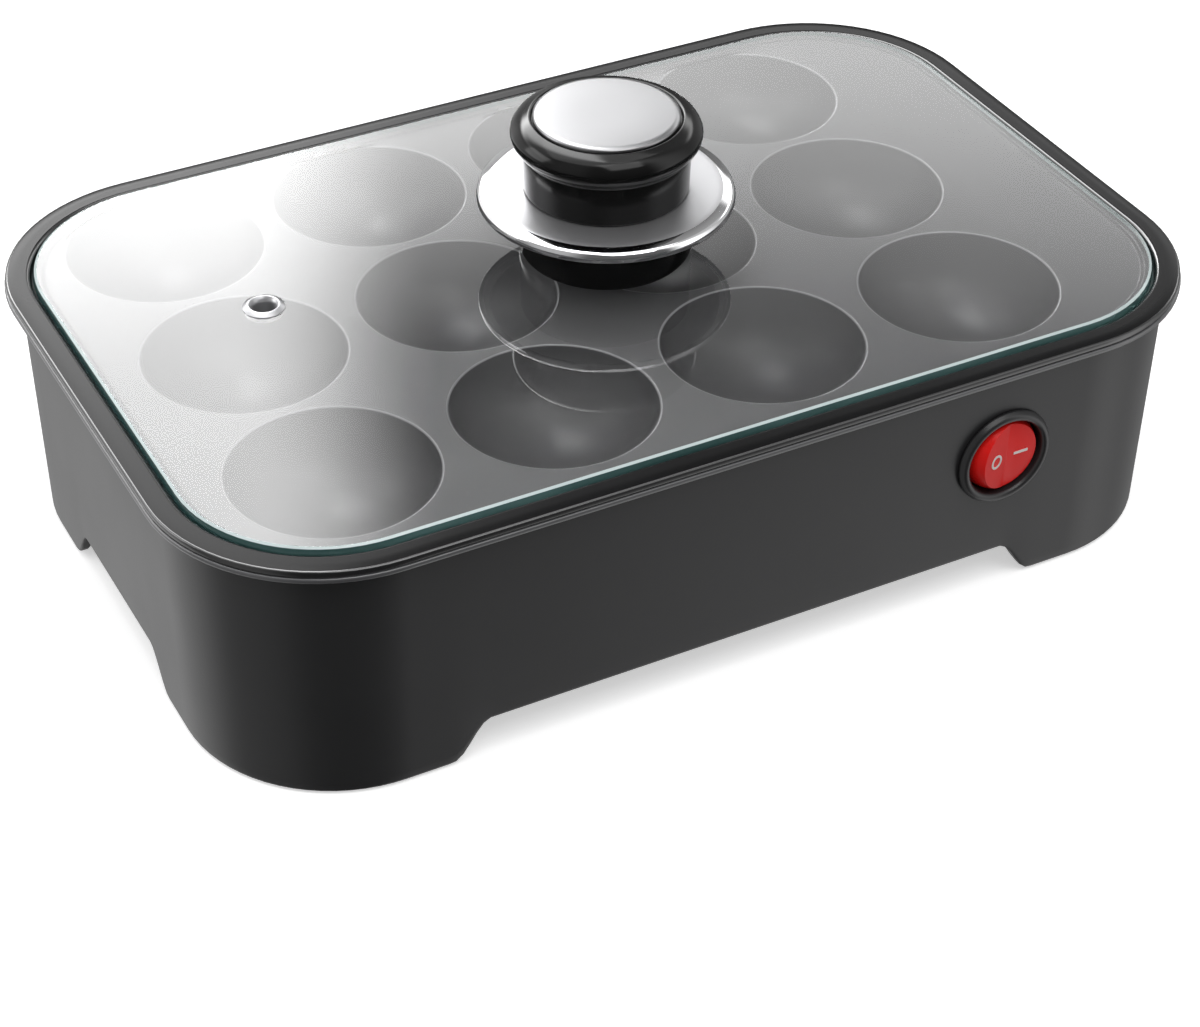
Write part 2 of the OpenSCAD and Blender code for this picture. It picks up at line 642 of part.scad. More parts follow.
// O on the raised half and a dash on the pressed half, laid on the face
module rocker_marks() color(white) rocker_frame() {
    rotate([0, 0, rocker_slope]) translate([-4.2, -rocker_depth * cos(rocker_slope), 0])
        rotate([90, 0, 0]) difference() {
            cylinder(r = 1.7, h = mark_t);
            translate([0, 0, -cut]) cylinder(r = 1.2, h = 3 * cut);
        }
    rotate([0, 0, -rocker_slope])
        translate([2.4, -rocker_depth * cos(rocker_slope) - mark_t, -0.3]) cube([3.6, mark_t, 0.6]);
}

module lid_glass() color(glass_tint) difference() {
    translate([0, 0, seat_z]) slab(glass_w, glass_d, glass_r, glass_t);
    at([knob_x, knob_y], seat_z - cut) cylinder(r = glass_hole, h = glass_t + 2 * cut);
    at([vent_x, vent_y], seat_z - cut) cylinder(r = vent_bore + 0.8, h = glass_t + 2 * cut);
}

module vent_eyelet() color(steel) at([vent_x, vent_y], 0) difference() {
    union() {
        translate([0, 0, glass_top]) cylinder(r1 = vent_flange, r2 = vent_flange - 0.8, h = 0.8);
        translate([0, 0, seat_z - 0.5]) cylinder(r = vent_flange - 0.5, h = 0.5);
        translate([0, 0, seat_z - 0.25]) cylinder(r = vent_bore + 0.7, h = glass_t + 0.6);
    }
    translate([0, 0, seat_z - cut]) cylinder(r = vent_bore, h = glass_t + 4 * cut);
}

module knob_base() color(black) at([knob_x, knob_y], knob_bottom) difference() {
    rotate_extrude($fn = 96) polygon([[0, 0], [knob_base_r - 1, 0], [knob_base_r, 1],
        [knob_base_r, knob_base_h], [0, knob_base_h]]);
    translate([0, 0, -cut]) cylinder(r = insert_r, h = knob_base_h + 2 * cut);
}

// Pressed sheet: a flat disc with its edge turned down
module knob_skirt() color(steel) at([knob_x, knob_y], knob_bottom) difference() {
    bend = [skirt_r - skirt_turn, skirt_top - skirt_turn];
    rotate_extrude($fn = 96) polygon(concat(
        [[0, skirt_top]], arc(bend, skirt_turn, 90, 0, 5),
        [[skirt_r, skirt_top - skirt_edge], [skirt_r - skirt_t, skirt_top - skirt_edge]],
        arc(bend, skirt_turn - skirt_t, 0, 90, 3), [[0, knob_base_h]]));
    translate([0, 0, knob_base_h - cut]) cylinder(r = insert_r, h = skirt_t + 2 * cut);
}

// Turned grip: a neck under a soft, wider rim, with a seat for the cap
module knob_grip() color(black) at([knob_x, knob_y], knob_bottom) difference() {
    rotate_extrude($fn = 96) polygon(concat(
        [[0, skirt_top], [neck_r - 1.2, skirt_top], [neck_r, skirt_top + 1.2],
         [neck_r + 0.3, grip_top - grip_drop - grip_round - 0.4]],
        arc([grip_r - grip_round, grip_top - grip_drop], grip_round, -80, 75, 8),
        [[cap_r + 0.5, grip_top], [0, grip_top]]));
    translate([0, 0, skirt_top - cut]) cylinder(r = insert_r, h = grip_top - skirt_top - insert_under + cut);
    translate([0, 0, grip_top - cap_seat]) cylinder(r = cap_r, h = cap_seat + cut, $fn = 96);
}

module knob_cap() color(steel) at([knob_x, knob_y], knob_bottom + grip_top - cap_seat) {
    cylinder(r = cap_r, h = cap_seat, $fn = 96);
    translate([0, 0, cap_seat]) cylinder(r1 = cap_r, r2 = cap_r - cap_h, h = cap_h, $fn = 96);
}

// Threaded metal core of the knob
module knob_insert() color(steel) at([knob_x, knob_y], knob_bottom) difference() {
    cylinder(r = insert_r, h = grip_top - insert_under);
    translate([0, 0, -cut]) cylinder(r = knob_screw_r, h = grip_top - insert_under - insert_solid + cut);
}

module glass_gasket() color(black) at([knob_x, knob_y], seat_z - gasket_t) difference() {
    cylinder(r = washer_r, h = gasket_t);
    translate([0, 0, -cut]) cylinder(r = knob_screw_r + 0.2, h = gasket_t + 2 * cut);
}

module knob_washer() color(steel) at([knob_x, knob_y], seat_z - gasket_t - washer_t) difference() {
    cylinder(r = washer_r - 0.5, h = washer_t);
    translate([0, 0, -cut]) cylinder(r = knob_screw_r + 0.2, h = washer_t + 2 * cut);
}

module knob_screw() color(steel) at([knob_x, knob_y], seat_z - gasket_t - washer_t)
    screw_up(knob_screw_r, gasket_t + washer_t + glass_t + knob_thread, knob_head_r, knob_head_h);

housing();
bottom_cover();
foot_pads();
cover_screws();
cooking_plate();
plate_screws();
heating_element();
element_insulators();
element_terminals();
element_clamps();
clamp_screws();
heat_shield();
shield_spacers();
shield_screws();
thermostat();
thermal_fuse();
fuse_clip();
terminal_block();
power_leads();
cord_gland();
gland_nut();
switch_body();
switch_terminals();
rocker_pin();
switch_rocker();
rocker_marks();
lid_glass();
vent_eyelet();
knob_base();
knob_skirt();
knob_grip();
knob_cap();
knob_insert();
glass_gasket();
knob_washer();
knob_screw();
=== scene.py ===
"""Looks of a countertop takoyaki maker: housing, cooking plate, glass lid, knob and switch.

The construction comes from the packed frame, in metres, and nothing here moves or resizes it.
"""
import math

import bmesh
import bpy
from mathutils import Matrix, Vector


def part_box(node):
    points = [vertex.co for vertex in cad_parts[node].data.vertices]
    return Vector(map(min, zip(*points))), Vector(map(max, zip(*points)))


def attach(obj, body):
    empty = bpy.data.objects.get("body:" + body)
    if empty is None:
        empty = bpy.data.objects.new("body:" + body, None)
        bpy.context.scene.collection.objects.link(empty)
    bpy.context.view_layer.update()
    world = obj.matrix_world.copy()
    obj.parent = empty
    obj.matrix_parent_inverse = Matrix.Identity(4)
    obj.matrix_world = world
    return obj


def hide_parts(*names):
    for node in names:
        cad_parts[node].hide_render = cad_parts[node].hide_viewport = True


bl_info = {
    "name": "Takoyaki Maker",
    "version": (1, 0, 0),
    "blender": (4, 5, 0),
    "location": "3D View > Sidebar > Takoyaki",
    "description": "Dresses the packed takoyaki maker with finished surfaces",
    "category": "Object",
}

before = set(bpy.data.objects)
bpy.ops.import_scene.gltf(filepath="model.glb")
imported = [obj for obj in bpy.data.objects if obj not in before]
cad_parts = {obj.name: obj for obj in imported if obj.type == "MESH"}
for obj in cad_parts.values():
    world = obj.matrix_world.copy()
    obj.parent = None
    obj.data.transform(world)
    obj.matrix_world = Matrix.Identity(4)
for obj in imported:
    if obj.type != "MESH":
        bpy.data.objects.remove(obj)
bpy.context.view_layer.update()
MM = 0.001


# Sizes read from the frame

def span(node):
    """Lowest corner, highest corner, middle and size of a CAD node."""
    low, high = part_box(node)
    return low, high, (low + high) / 2, high - low


HOUSING_LOW, HOUSING_HIGH, _, HOUSING_SIZE = span("housing")
_, PLATE_HIGH, _, _ = span("cooking_plate")
GLASS_LOW, GLASS_HIGH, _, GLASS_SIZE = span("lid_glass")
CAP_LOW, CAP_HIGH, CAP_MIDDLE, CAP_SIZE = span("knob_cap")
GRIP_LOW, GRIP_HIGH, _, GRIP_SIZE = span("knob_grip")
SKIRT_LOW, SKIRT_HIGH, _, SKIRT_SIZE = span("knob_skirt")
BASE_LOW, BASE_HIGH, _, BASE_SIZE = span("knob_base")
EYELET_LOW, EYELET_HIGH, EYELET_MIDDLE, EYELET_SIZE = span("vent_eyelet")
SWITCH_LOW, SWITCH_HIGH, SWITCH_MIDDLE, SWITCH_SIZE = span("switch_body")
GLAND_LOW, GLAND_HIGH, GLAND_MIDDLE, GLAND_SIZE = span("cord_gland")

RIM_R = 39 * MM                                  # corner radius of the rim
CORE_X = HOUSING_SIZE.x / 2 - RIM_R              # middle of a corner's arc
CORE_Y = HOUSING_SIZE.y / 2 - RIM_R
GLASS_R = GLASS_SIZE.x / 2 - CORE_X
LIP_TOP = HOUSING_HIGH.z
FLANGE_TOP = PLATE_HIGH.z
GLAND_NECK = 6 * MM                              # radius of the gland behind its flange
CUPS_X, CUPS_Y = 4, 3

SHARP_ANGLE = 35.0                               # degrees past which an edge stays sharp
PLATE_SHARP_ANGLE = 60.0
GLASS_SHARP_ANGLE = 50.0


class TakoyakiSizes(bpy.types.PropertyGroup):
    """Sizes that the frame leaves to the finished surfaces."""
    rim_over: bpy.props.FloatProperty(
        name="Rim overhang", description="How far the rim stands out over the wall",
        default=3.2 * MM, unit="LENGTH")
    wall: bpy.props.FloatProperty(
        name="Wall", description="Thickness of the housing's wall", default=2.4 * MM, unit="LENGTH")
    draft: bpy.props.FloatProperty(
        name="Draft", description="How much the wall draws in from its top to its feet",
        default=1.0 * MM, unit="LENGTH")
    arch_height: bpy.props.FloatProperty(
        name="Arch height", description="Height of the arches between the feet",
        default=9.8 * MM, unit="LENGTH")
    front_arch: bpy.props.FloatProperty(
        name="Front arch", description="Half length of the front and back arches at the top",
        default=63 * MM, unit="LENGTH")
    side_arch: bpy.props.FloatProperty(
        name="Side arch", description="Half length of the side arches at the top",
        default=20 * MM, unit="LENGTH")
    arch_ramp: bpy.props.FloatProperty(
        name="Arch ramp", description="Length of an arch's curved end", default=9 * MM, unit="LENGTH")
    surface_drop: bpy.props.FloatProperty(
        name="Tray depth", description="From the glass down to the cooking surface",
        default=1.1 * MM, unit="LENGTH")
    seat_width: bpy.props.FloatProperty(
        name="Seat width", description="Width of the glass's seat", default=2 * MM, unit="LENGTH")
    sheet: bpy.props.FloatProperty(
        name="Plate thickness", description="Thickness of the cast cooking plate",
        default=1.4 * MM, unit="LENGTH")
    pitch_x: bpy.props.FloatProperty(
        name="Cup pitch, length", description="Cup to cup along the length", default=50 * MM, unit="LENGTH")
    pitch_y: bpy.props.FloatProperty(
        name="Cup pitch, depth", description="Cup to cup front to back", default=47 * MM, unit="LENGTH")
    grid_x: bpy.props.FloatProperty(
        name="Cup grid X", description="Middle of the cup grid along the length",
        default=-8 * MM, unit="LENGTH")
    grid_y: bpy.props.FloatProperty(
        name="Cup grid Y", description="Middle of the cup grid front to back",
        default=2 * MM, unit="LENGTH")
    cup_r: bpy.props.FloatProperty(
        name="Cup radius", description="Inner radius of a cup's bowl", default=22 * MM, unit="LENGTH")
    cup_lift: bpy.props.FloatProperty(
        name="Cup lift", description="Height of the bowl's centre over the cooking surface",
        default=1.5 * MM, unit="LENGTH")
    glass_bevel: bpy.props.FloatProperty(
        name="Glass bevel", description="Width of the ground edge of the glass",
        default=0.9 * MM, unit="LENGTH")
    vent_bore: bpy.props.FloatProperty(
        name="Vent bore", description="Bore radius of the steam vent", default=2.5 * MM, unit="LENGTH")


class TakoyakiFinishes(bpy.types.PropertyGroup):
    """Colours of the finished surfaces."""
    housing: bpy.props.FloatVectorProperty(
        name="Housing", description="Satin dark grey of the housing", subtype="COLOR",
        default=(0.020, 0.020, 0.021))
    plate: bpy.props.FloatVectorProperty(
        name="Cooking plate", description="Grey non-stick coating", subtype="COLOR",
        default=(0.082, 0.082, 0.084))
    rim: bpy.props.FloatVectorProperty(
        name="Plate rim", description="Black coating of the plate's rim", subtype="COLOR",
        default=(0.007, 0.007, 0.0073))
    rocker: bpy.props.FloatVectorProperty(
        name="Rocker", description="Red of the switch's rocker", subtype="COLOR",
        default=(0.78, 0.012, 0.010))
    knob: bpy.props.FloatVectorProperty(
        name="Knob", description="Gloss black of the knob", subtype="COLOR",
        default=(0.006, 0.006, 0.006))
    glass_edge: bpy.props.FloatVectorProperty(
        name="Glass edge", description="Deep green of the pane's edge", subtype="COLOR",
        default=(0.030, 0.085, 0.080))
    # the bevel's pale colour is a painted highlight along the pane's top edge
    glass_bevel: bpy.props.FloatVectorProperty(
        name="Glass bevel", description="Pale ground bevel of the pane", subtype="COLOR",
        default=(0.62, 0.72, 0.72))


def sizes():
    return bpy.context.scene.takoyaki_sizes


def finishes():
    return bpy.context.scene.takoyaki_finishes


# Shader groups that more than one material uses

def new_group(name, inputs, outputs, kind="NodeSocketFloat"):
    """An empty node group. Inputs have a label and a default, None for a colour. Outputs are of one kind."""
    group = bpy.data.node_groups.new(name, "ShaderNodeTree")
    for label, value in inputs:
        color = value is None
        socket = group.interface.new_socket(
            label, in_out="INPUT", socket_type="NodeSocketColor" if color else "NodeSocketFloat")
        if not color:
            socket.default_value = value
    for label in outputs:
        group.interface.new_socket(label, in_out="OUTPUT", socket_type=kind)
    return group, group.nodes.new("NodeGroupInput"), group.nodes.new("NodeGroupOutput")


def maths(tree, operation, a, b):
    """A Math node on two sockets or numbers, and its result."""
    node = tree.nodes.new("ShaderNodeMath")
    node.operation = operation
    for i, value in enumerate((a, b)):
        if isinstance(value, (int, float)):
            node.inputs[i].default_value = value
        else:
            tree.links.new(value, node.inputs[i])
    return node.outputs[0]


def noise(tree, scale, detail=3.0, stretch=None):
    """Noise over the Object coordinates. stretch squeezes it along an axis, as in brushed metal."""
    place = tree.nodes.new("ShaderNodeTexCoord")
    vector = place.outputs["Object"]
    if stretch:
        mapping = tree.nodes.new("ShaderNodeMapping")
        mapping.inputs["Scale"].default_value = stretch
        tree.links.new(vector, mapping.inputs["Vector"])
        vector = mapping.outputs["Vector"]
    texture = tree.nodes.new("ShaderNodeTexNoise")
    texture.inputs["Detail"].default_value = detail
    tree.links.new(vector, texture.inputs["Vector"])
    if isinstance(scale, (int, float)):
        texture.inputs["Scale"].default_value = scale
    else:
        tree.links.new(scale, texture.inputs["Scale"])
    return texture.outputs["Fac"]


def grain_group():
    """Fine moulded or sprayed grain: a height, and a roughness that drifts a little."""
    group, enter, leave = new_group(
        "Satin grain", [("Grain Scale", 1800.0), ("Roughness", 0.4), ("Drift", 0.06)],
        ["Height", "Roughness"])
    fine = noise(group, enter.outputs["Grain Scale"], 4.0)
    broad = noise(group, 38.0, 2.0)
    drift = maths(group, "MULTIPLY", maths(group, "SUBTRACT", broad, 0.5), enter.outputs["Drift"])
    group.links.new(fine, leave.inputs["Height"])
    group.links.new(maths(group, "ADD", enter.outputs["Roughness"], drift), leave.inputs["Roughness"])
    return group


def smudge_group():
    """Faint wipe marks and dust on a polished surface, as a roughness and a mask."""
    group, enter, leave = new_group(
        "Handling marks", [("Roughness", 0.08), ("Amount", 0.08)], ["Roughness", "Mask"])
    broad = noise(group, 55.0, 5.0)
    streak = noise(group, 160.0, 2.0, (1.0, 3.0, 1.0))
    mask = maths(group, "POWER", maths(group, "MULTIPLY", broad, streak), 1.6)
    more = maths(group, "MULTIPLY", mask, enter.outputs["Amount"])
    group.links.new(maths(group, "ADD", enter.outputs["Roughness"], more), leave.inputs["Roughness"])
    group.links.new(mask, leave.inputs["Mask"])
    return group


def tint_group():
    """Two shades of one colour, drifting over the piece, as a moulding or a coating has."""
    group, enter, leave = new_group(
        "Colour drift", [("Dark", None), ("Light", None), ("Scale", 60.0)], ["Color"], "NodeSocketColor")
    mix = group.nodes.new("ShaderNodeMix")
    mix.data_type = "RGBA"
    group.links.new(noise(group, enter.outputs["Scale"], 4.0), mix.inputs["Factor"])
    group.links.new(enter.outputs["Dark"], mix.inputs["A"])
    group.links.new(enter.outputs["Light"], mix.inputs["B"])
    group.links.new(mix.outputs["Result"], leave.inputs["Color"])
    return group


GROUPS = {}


def use_group(tree, name, maker):
    """Places a shared group in a material, making it the first time."""
    if name not in GROUPS:
        GROUPS[name] = maker()
    node = tree.nodes.new("ShaderNodeGroup")
    node.node_tree = GROUPS[name]
    return node


# Materials

def start_material(name):
    material = bpy.data.materials.new(name)
    material.use_nodes = True
    tree = material.node_tree
    return material, tree, tree.nodes["Principled BSDF"]


def rgba(color, k=1.0):
    return (color[0] * k, color[1] * k, color[2] * k, 1.0)


def drift_color(tree, shader, color, spread=0.12, scale=60.0):
    """Feeds the base colour with two close shades."""
    tint = use_group(tree, "tint", tint_group)
    tint.inputs["Dark"].default_value = rgba(color, 1 - spread)
    tint.inputs["Light"].default_value = rgba(color, 1 + spread)
    tint.inputs["Scale"].default_value = scale
    tree.links.new(tint.outputs["Color"], shader.inputs["Base Color"])


def bump(tree, shader, height, strength, distance):
    node = tree.nodes.new("ShaderNodeBump")
    node.inputs["Strength"].default_value = strength
    node.inputs["Distance"].default_value = distance
    tree.links.new(height, node.inputs["Height"])
    tree.links.new(node.outputs["Normal"], shader.inputs["Normal"])


def satin(name, color, roughness, scale=1800.0, depth=0.02 * MM, level=0.5, spread=0.1, metallic=0.0):
    """Moulded plastic, a sprayed coating or dull metal with a fine grain."""
    material, tree, shader = start_material(name)
    drift_color(tree, shader, color, spread)
    grain = use_group(tree, "grain", grain_group)
    grain.inputs["Grain Scale"].default_value = scale
    grain.inputs["Roughness"].default_value = roughness
    tree.links.new(grain.outputs["Roughness"], shader.inputs["Roughness"])
    bump(tree, shader, grain.outputs["Height"], 0.35, depth)
    shader.inputs["Specular IOR Level"].default_value = level
    shader.inputs["Metallic"].default_value = metallic
    return material


def polished(name, color, roughness, metallic, amount, level=0.5):
    """Polished metal or gloss plastic with faint handling marks."""
    material, tree, shader = start_material(name)
    drift_color(tree, shader, color, 0.02)
    marks = use_group(tree, "marks", smudge_group)
    marks.inputs["Roughness"].default_value = roughness
    marks.inputs["Amount"].default_value = amount
    tree.links.new(marks.outputs["Roughness"], shader.inputs["Roughness"])
    shader.inputs["Metallic"].default_value = metallic
    shader.inputs["Specular IOR Level"].default_value = level
    return material


def brushed(name, color, roughness, stretch):
    """Sheet metal with a brushed grain along one direction."""
    material, tree, shader = start_material(name)
    drift_color(tree, shader, color, 0.05)
    lines = noise(tree, 900.0, 2.0, stretch)
    more = maths(tree, "MULTIPLY", lines, 0.12)
    tree.links.new(maths(tree, "ADD", roughness, more), shader.inputs["Roughness"])
    bump(tree, shader, lines, 0.12, 0.01 * MM)
    shader.inputs["Metallic"].default_value = 1.0
    return material


def let_light_through(tree, shader):
    """Light that falls on what lies under the glass passes it, where a refraction would lose it.

    A ray that has just refracted counts as glossy too, so it leaves by the lower face unbent.
    """
    path = tree.nodes.new("ShaderNodeLightPath")
    passing = maths(tree, "MAXIMUM", path.outputs["Is Shadow Ray"], path.outputs["Is Diffuse Ray"])
    passing = maths(tree, "MAXIMUM", passing, path.outputs["Is Glossy Ray"])
    tree.links.new(maths(tree, "SUBTRACT", 1.0, passing), shader.inputs["Alpha"])


def clear_glass():
    material, tree, shader = start_material("lid_glass")
    drift_color(tree, shader, (0.968, 0.976, 0.974), 0.012, 24.0)
    shader.inputs["Transmission Weight"].default_value = 1.0
    shader.inputs["IOR"].default_value = 1.5
    shader.inputs["Roughness"].default_value = 0.0
    let_light_through(tree, shader)
    return material


def ground_glass(name, color, clear):
    """The ground and polished edge of the pane."""
    material, tree, shader = start_material(name)
    drift_color(tree, shader, color, 0.05)
    shader.inputs["Transmission Weight"].default_value = clear
    grain = use_group(tree, "grain", grain_group)
    grain.inputs["Roughness"].default_value = 0.18
    tree.links.new(grain.outputs["Roughness"], shader.inputs["Roughness"])
    return material


def rocker_red():
    material, tree, shader = start_material("rocker_red")
    drift_color(tree, shader, finishes().rocker, 0.12, 140.0)
    marks = use_group(tree, "marks", smudge_group)
    marks.inputs["Roughness"].default_value = 0.25
    tree.links.new(marks.outputs["Roughness"], shader.inputs["Roughness"])
    shader.inputs["Specular IOR Level"].default_value = 0.15
    shader.inputs["Subsurface Weight"].default_value = 0.15
    shader.inputs["Subsurface Radius"].default_value = (2.0 * MM, 0.4 * MM, 0.3 * MM)
    return material


# Mesh building

def round_outline(bm, radius, z, steps=18, gap=1.6 * MM):
    """The edges of a rounded rectangle about the shared corner middles, and its face."""
    made = bmesh.ops.create_grid(bm, x_segments=1, y_segments=1, size=0.5)
    corners = made["verts"]
    half = Vector((CORE_X + radius, CORE_Y + radius, 0))
    for v in corners:
        v.co = Vector((math.copysign(half.x, v.co.x), math.copysign(half.y, v.co.y), z))
    bmesh.ops.bevel(bm, geom=corners, offset=radius, offset_type="OFFSET", segments=steps,
                    profile=0.5, affect="VERTICES", material=-1, clamp_overlap=False)
    face = bm.faces[:][-1]
    long_edges = [e for e in face.edges if e.calc_length() > CORE_Y]
    for e in long_edges:
        cuts = max(1, round(e.calc_length() / gap) - 1)
        bmesh.ops.subdivide_edges(bm, edges=[e], cuts=cuts)
    return face


def core_of(point):
    """The nearest point of the inner rectangle that holds the middles of the corners' arcs."""
    return Vector((max(-CORE_X, min(CORE_X, point.x)), max(-CORE_Y, min(CORE_Y, point.y))))


def around(point, middle, radius, z):
    """The point at a radius and height about a middle, on the side where another point lies."""
    way = Vector((point.x - middle[0], point.y - middle[1])).normalized()
    return Vector((middle[0] + way.x * radius, middle[1] + way.y * radius, z))


def pull(bm, edges, place):
    """Extrudes a loop of edges, puts its new vertices where place says, and returns them and its edges."""
    made = bmesh.ops.extrude_edge_only(bm, edges=edges)["geom"]
    verts = [g for g in made if isinstance(g, bmesh.types.BMVert)]
    for v in verts:
        v.co = place(v.co)
    return verts, [g for g in made if isinstance(g, bmesh.types.BMEdge)]


def pull_rings(bm, edges, rings, middle_of=core_of):
    """Extrudes a loop of edges through rings of (corner radius, height), and returns the last loop."""
    for radius, z in rings:
        _, edges = pull(bm, edges, lambda co: around(co, middle_of(co), radius, z))
    return edges


def rounded_profile(corners, steps=5):
    """A profile with some corners rounded: each corner is (radius, height, rounding)."""
    points = []
    last = len(corners) - 1
    for i, (r, z, size) in enumerate(corners):
        here = Vector((r, z))
        if size <= 0 or i in (0, last):
            points.append(here)
            continue
        before = Vector(corners[i - 1][:2]) - here
        after = Vector(corners[i + 1][:2]) - here
        size = min(size, before.length * 0.49, after.length * 0.49)
        start = here + before.normalized() * size
        end = here + after.normalized() * size
        for k in range(steps + 1):
            t = k / steps
            points.append(start * (1 - t) ** 2 + here * 2 * t * (1 - t) + end * t ** 2)
    return [(p.x, p.y) for p in points]


def turned(bm, profile, middle, steps):
    """Spins a profile of (radius, height) about a vertical axis through a middle."""
    verts = [bm.verts.new((middle[0] + r, middle[1], z)) for r, z in profile]
    edges = [bm.edges.new(pair) for pair in zip(verts, verts[1:])]
    bmesh.ops.spin(bm, geom=verts + edges, cent=(middle[0], middle[1], 0), axis=(0, 0, 1),
                   angle=2 * math.pi, steps=steps, use_merge=True)
    bmesh.ops.remove_doubles(bm, verts=bm.verts[:], dist=0.002 * MM)
    bmesh.ops.dissolve_degenerate(bm, edges=bm.edges[:], dist=0.001 * MM)


def smooth_but_flats(mesh, angle):
    """Smooth shading, but level faces stay flat and edges past the angle stay sharp."""
    mesh.shade_smooth()
    mesh.set_sharp_from_angle(angle=math.radians(angle))
    for polygon in mesh.polygons:
        if abs(polygon.normal.z) > 0.99999:
            polygon.use_smooth = False


def finish_piece(name, bm, materials, body, node, angle=SHARP_ANGLE, recalc=True):
    """Makes the object from a bmesh, smooth but for sharp edges, and ties it to its body."""
    if recalc:
        bmesh.ops.recalc_face_normals(bm, faces=bm.faces[:])
    mesh = bpy.data.meshes.new(name)
    bm.to_mesh(mesh)
    bm.free()
    smooth_but_flats(mesh, angle)
    obj = bpy.data.objects.new(name, mesh)
    bpy.context.scene.collection.objects.link(obj)
    for material in materials:
        mesh.materials.append(material)
    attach(obj, body)
    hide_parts(node)
    return obj


def turned_piece(name, corners, middle, materials, body, node, curve=5, steps=96, along_y=0):
    """A piece turned from a profile's corners: upright, or with its height along Y (1) or -Y (-1)."""
    bm = bmesh.new()
    turned(bm, rounded_profile(corners, curve), (0, 0) if along_y else middle, steps)
    if along_y:
        turn = Matrix.Rotation(math.radians(-90 * along_y), 4, "X")
        bmesh.ops.transform(bm, matrix=Matrix.Translation(middle) @ turn, verts=bm.verts[:])
    return finish_piece(name, bm, materials, body, node)


def apply_modifiers(obj):
    """Turns an object's modifiers into its mesh."""
    graph = bpy.context.evaluated_depsgraph_get()
    mesh = bpy.data.meshes.new_from_object(obj.evaluated_get(graph), depsgraph=graph)
    obj.modifiers.clear()
    old = obj.data
    obj.data = mesh
    bpy.data.meshes.remove(old)


def drill(obj, start, end, radius):
    """Cuts a round hole from start to end through an object."""
    bm = bmesh.new()
    way = Vector(end) - Vector(start)
    turn = way.to_track_quat("Z", "Y").to_matrix().to_4x4()
    move = Matrix.Translation((Vector(start) + Vector(end)) / 2)
    bmesh.ops.create_cone(bm, cap_ends=True, segments=96, radius1=radius, radius2=radius,
                          depth=way.length, matrix=move @ turn)
    mesh = bpy.data.meshes.new("cutter")
    bm.to_mesh(mesh)
    bm.free()
    cutter = bpy.data.objects.new("cutter", mesh)
    bpy.context.scene.collection.objects.link(cutter)
    modifier = obj.modifiers.new("hole", "BOOLEAN")
    modifier.operation = "DIFFERENCE"
    modifier.solver = "EXACT"
    modifier.object = cutter
    apply_modifiers(obj)
    bpy.data.objects.remove(cutter)
    bpy.data.meshes.remove(mesh)


def softened(node, name, material, body, width, segments):
    """Makes a copy of a CAD node with its edges rounded off, which stands for it."""
    bm = bmesh.new()
    bm.from_mesh(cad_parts[node].data)
    bmesh.ops.remove_doubles(bm, verts=bm.verts[:], dist=0.005 * MM)
    bmesh.ops.dissolve_limit(bm, angle_limit=math.radians(1.5), verts=bm.verts[:], edges=bm.edges[:])
    obj = finish_piece(name, bm, [material], body, node, recalc=False)
    modifier = obj.modifiers.new("rounded edges", "BEVEL")
    modifier.width = width
    modifier.segments = segments
    modifier.limit_method = "ANGLE"
    modifier.angle_limit = math.radians(32)
    modifier.harden_normals = False
    apply_modifiers(obj)
    smooth_but_flats(obj.data, SHARP_ANGLE)


def paint(material, *nodes):
    """Gives CAD nodes that stay in sight, or lie inside, their finish."""
    for node in nodes:
        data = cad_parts[node].data
        data.materials.clear()
        data.materials.append(material)


# Pieces

def arch_edge(x, y, s):
    """Height of the housing's lower edge at a point of its wall."""
    past_x, past_y = abs(x) > CORE_X + 1 * MM, abs(y) > CORE_Y + 1 * MM
    if past_x and past_y:
        return HOUSING_LOW.z
    along, half = (abs(x), s.front_arch) if past_y else (abs(y), s.side_arch)
    t = (along - half) / s.arch_ramp
    t = max(0.0, min(1.0, t))
    return HOUSING_LOW.z + (s.arch_height - HOUSING_LOW.z) * (1 + math.cos(math.pi * t)) / 2


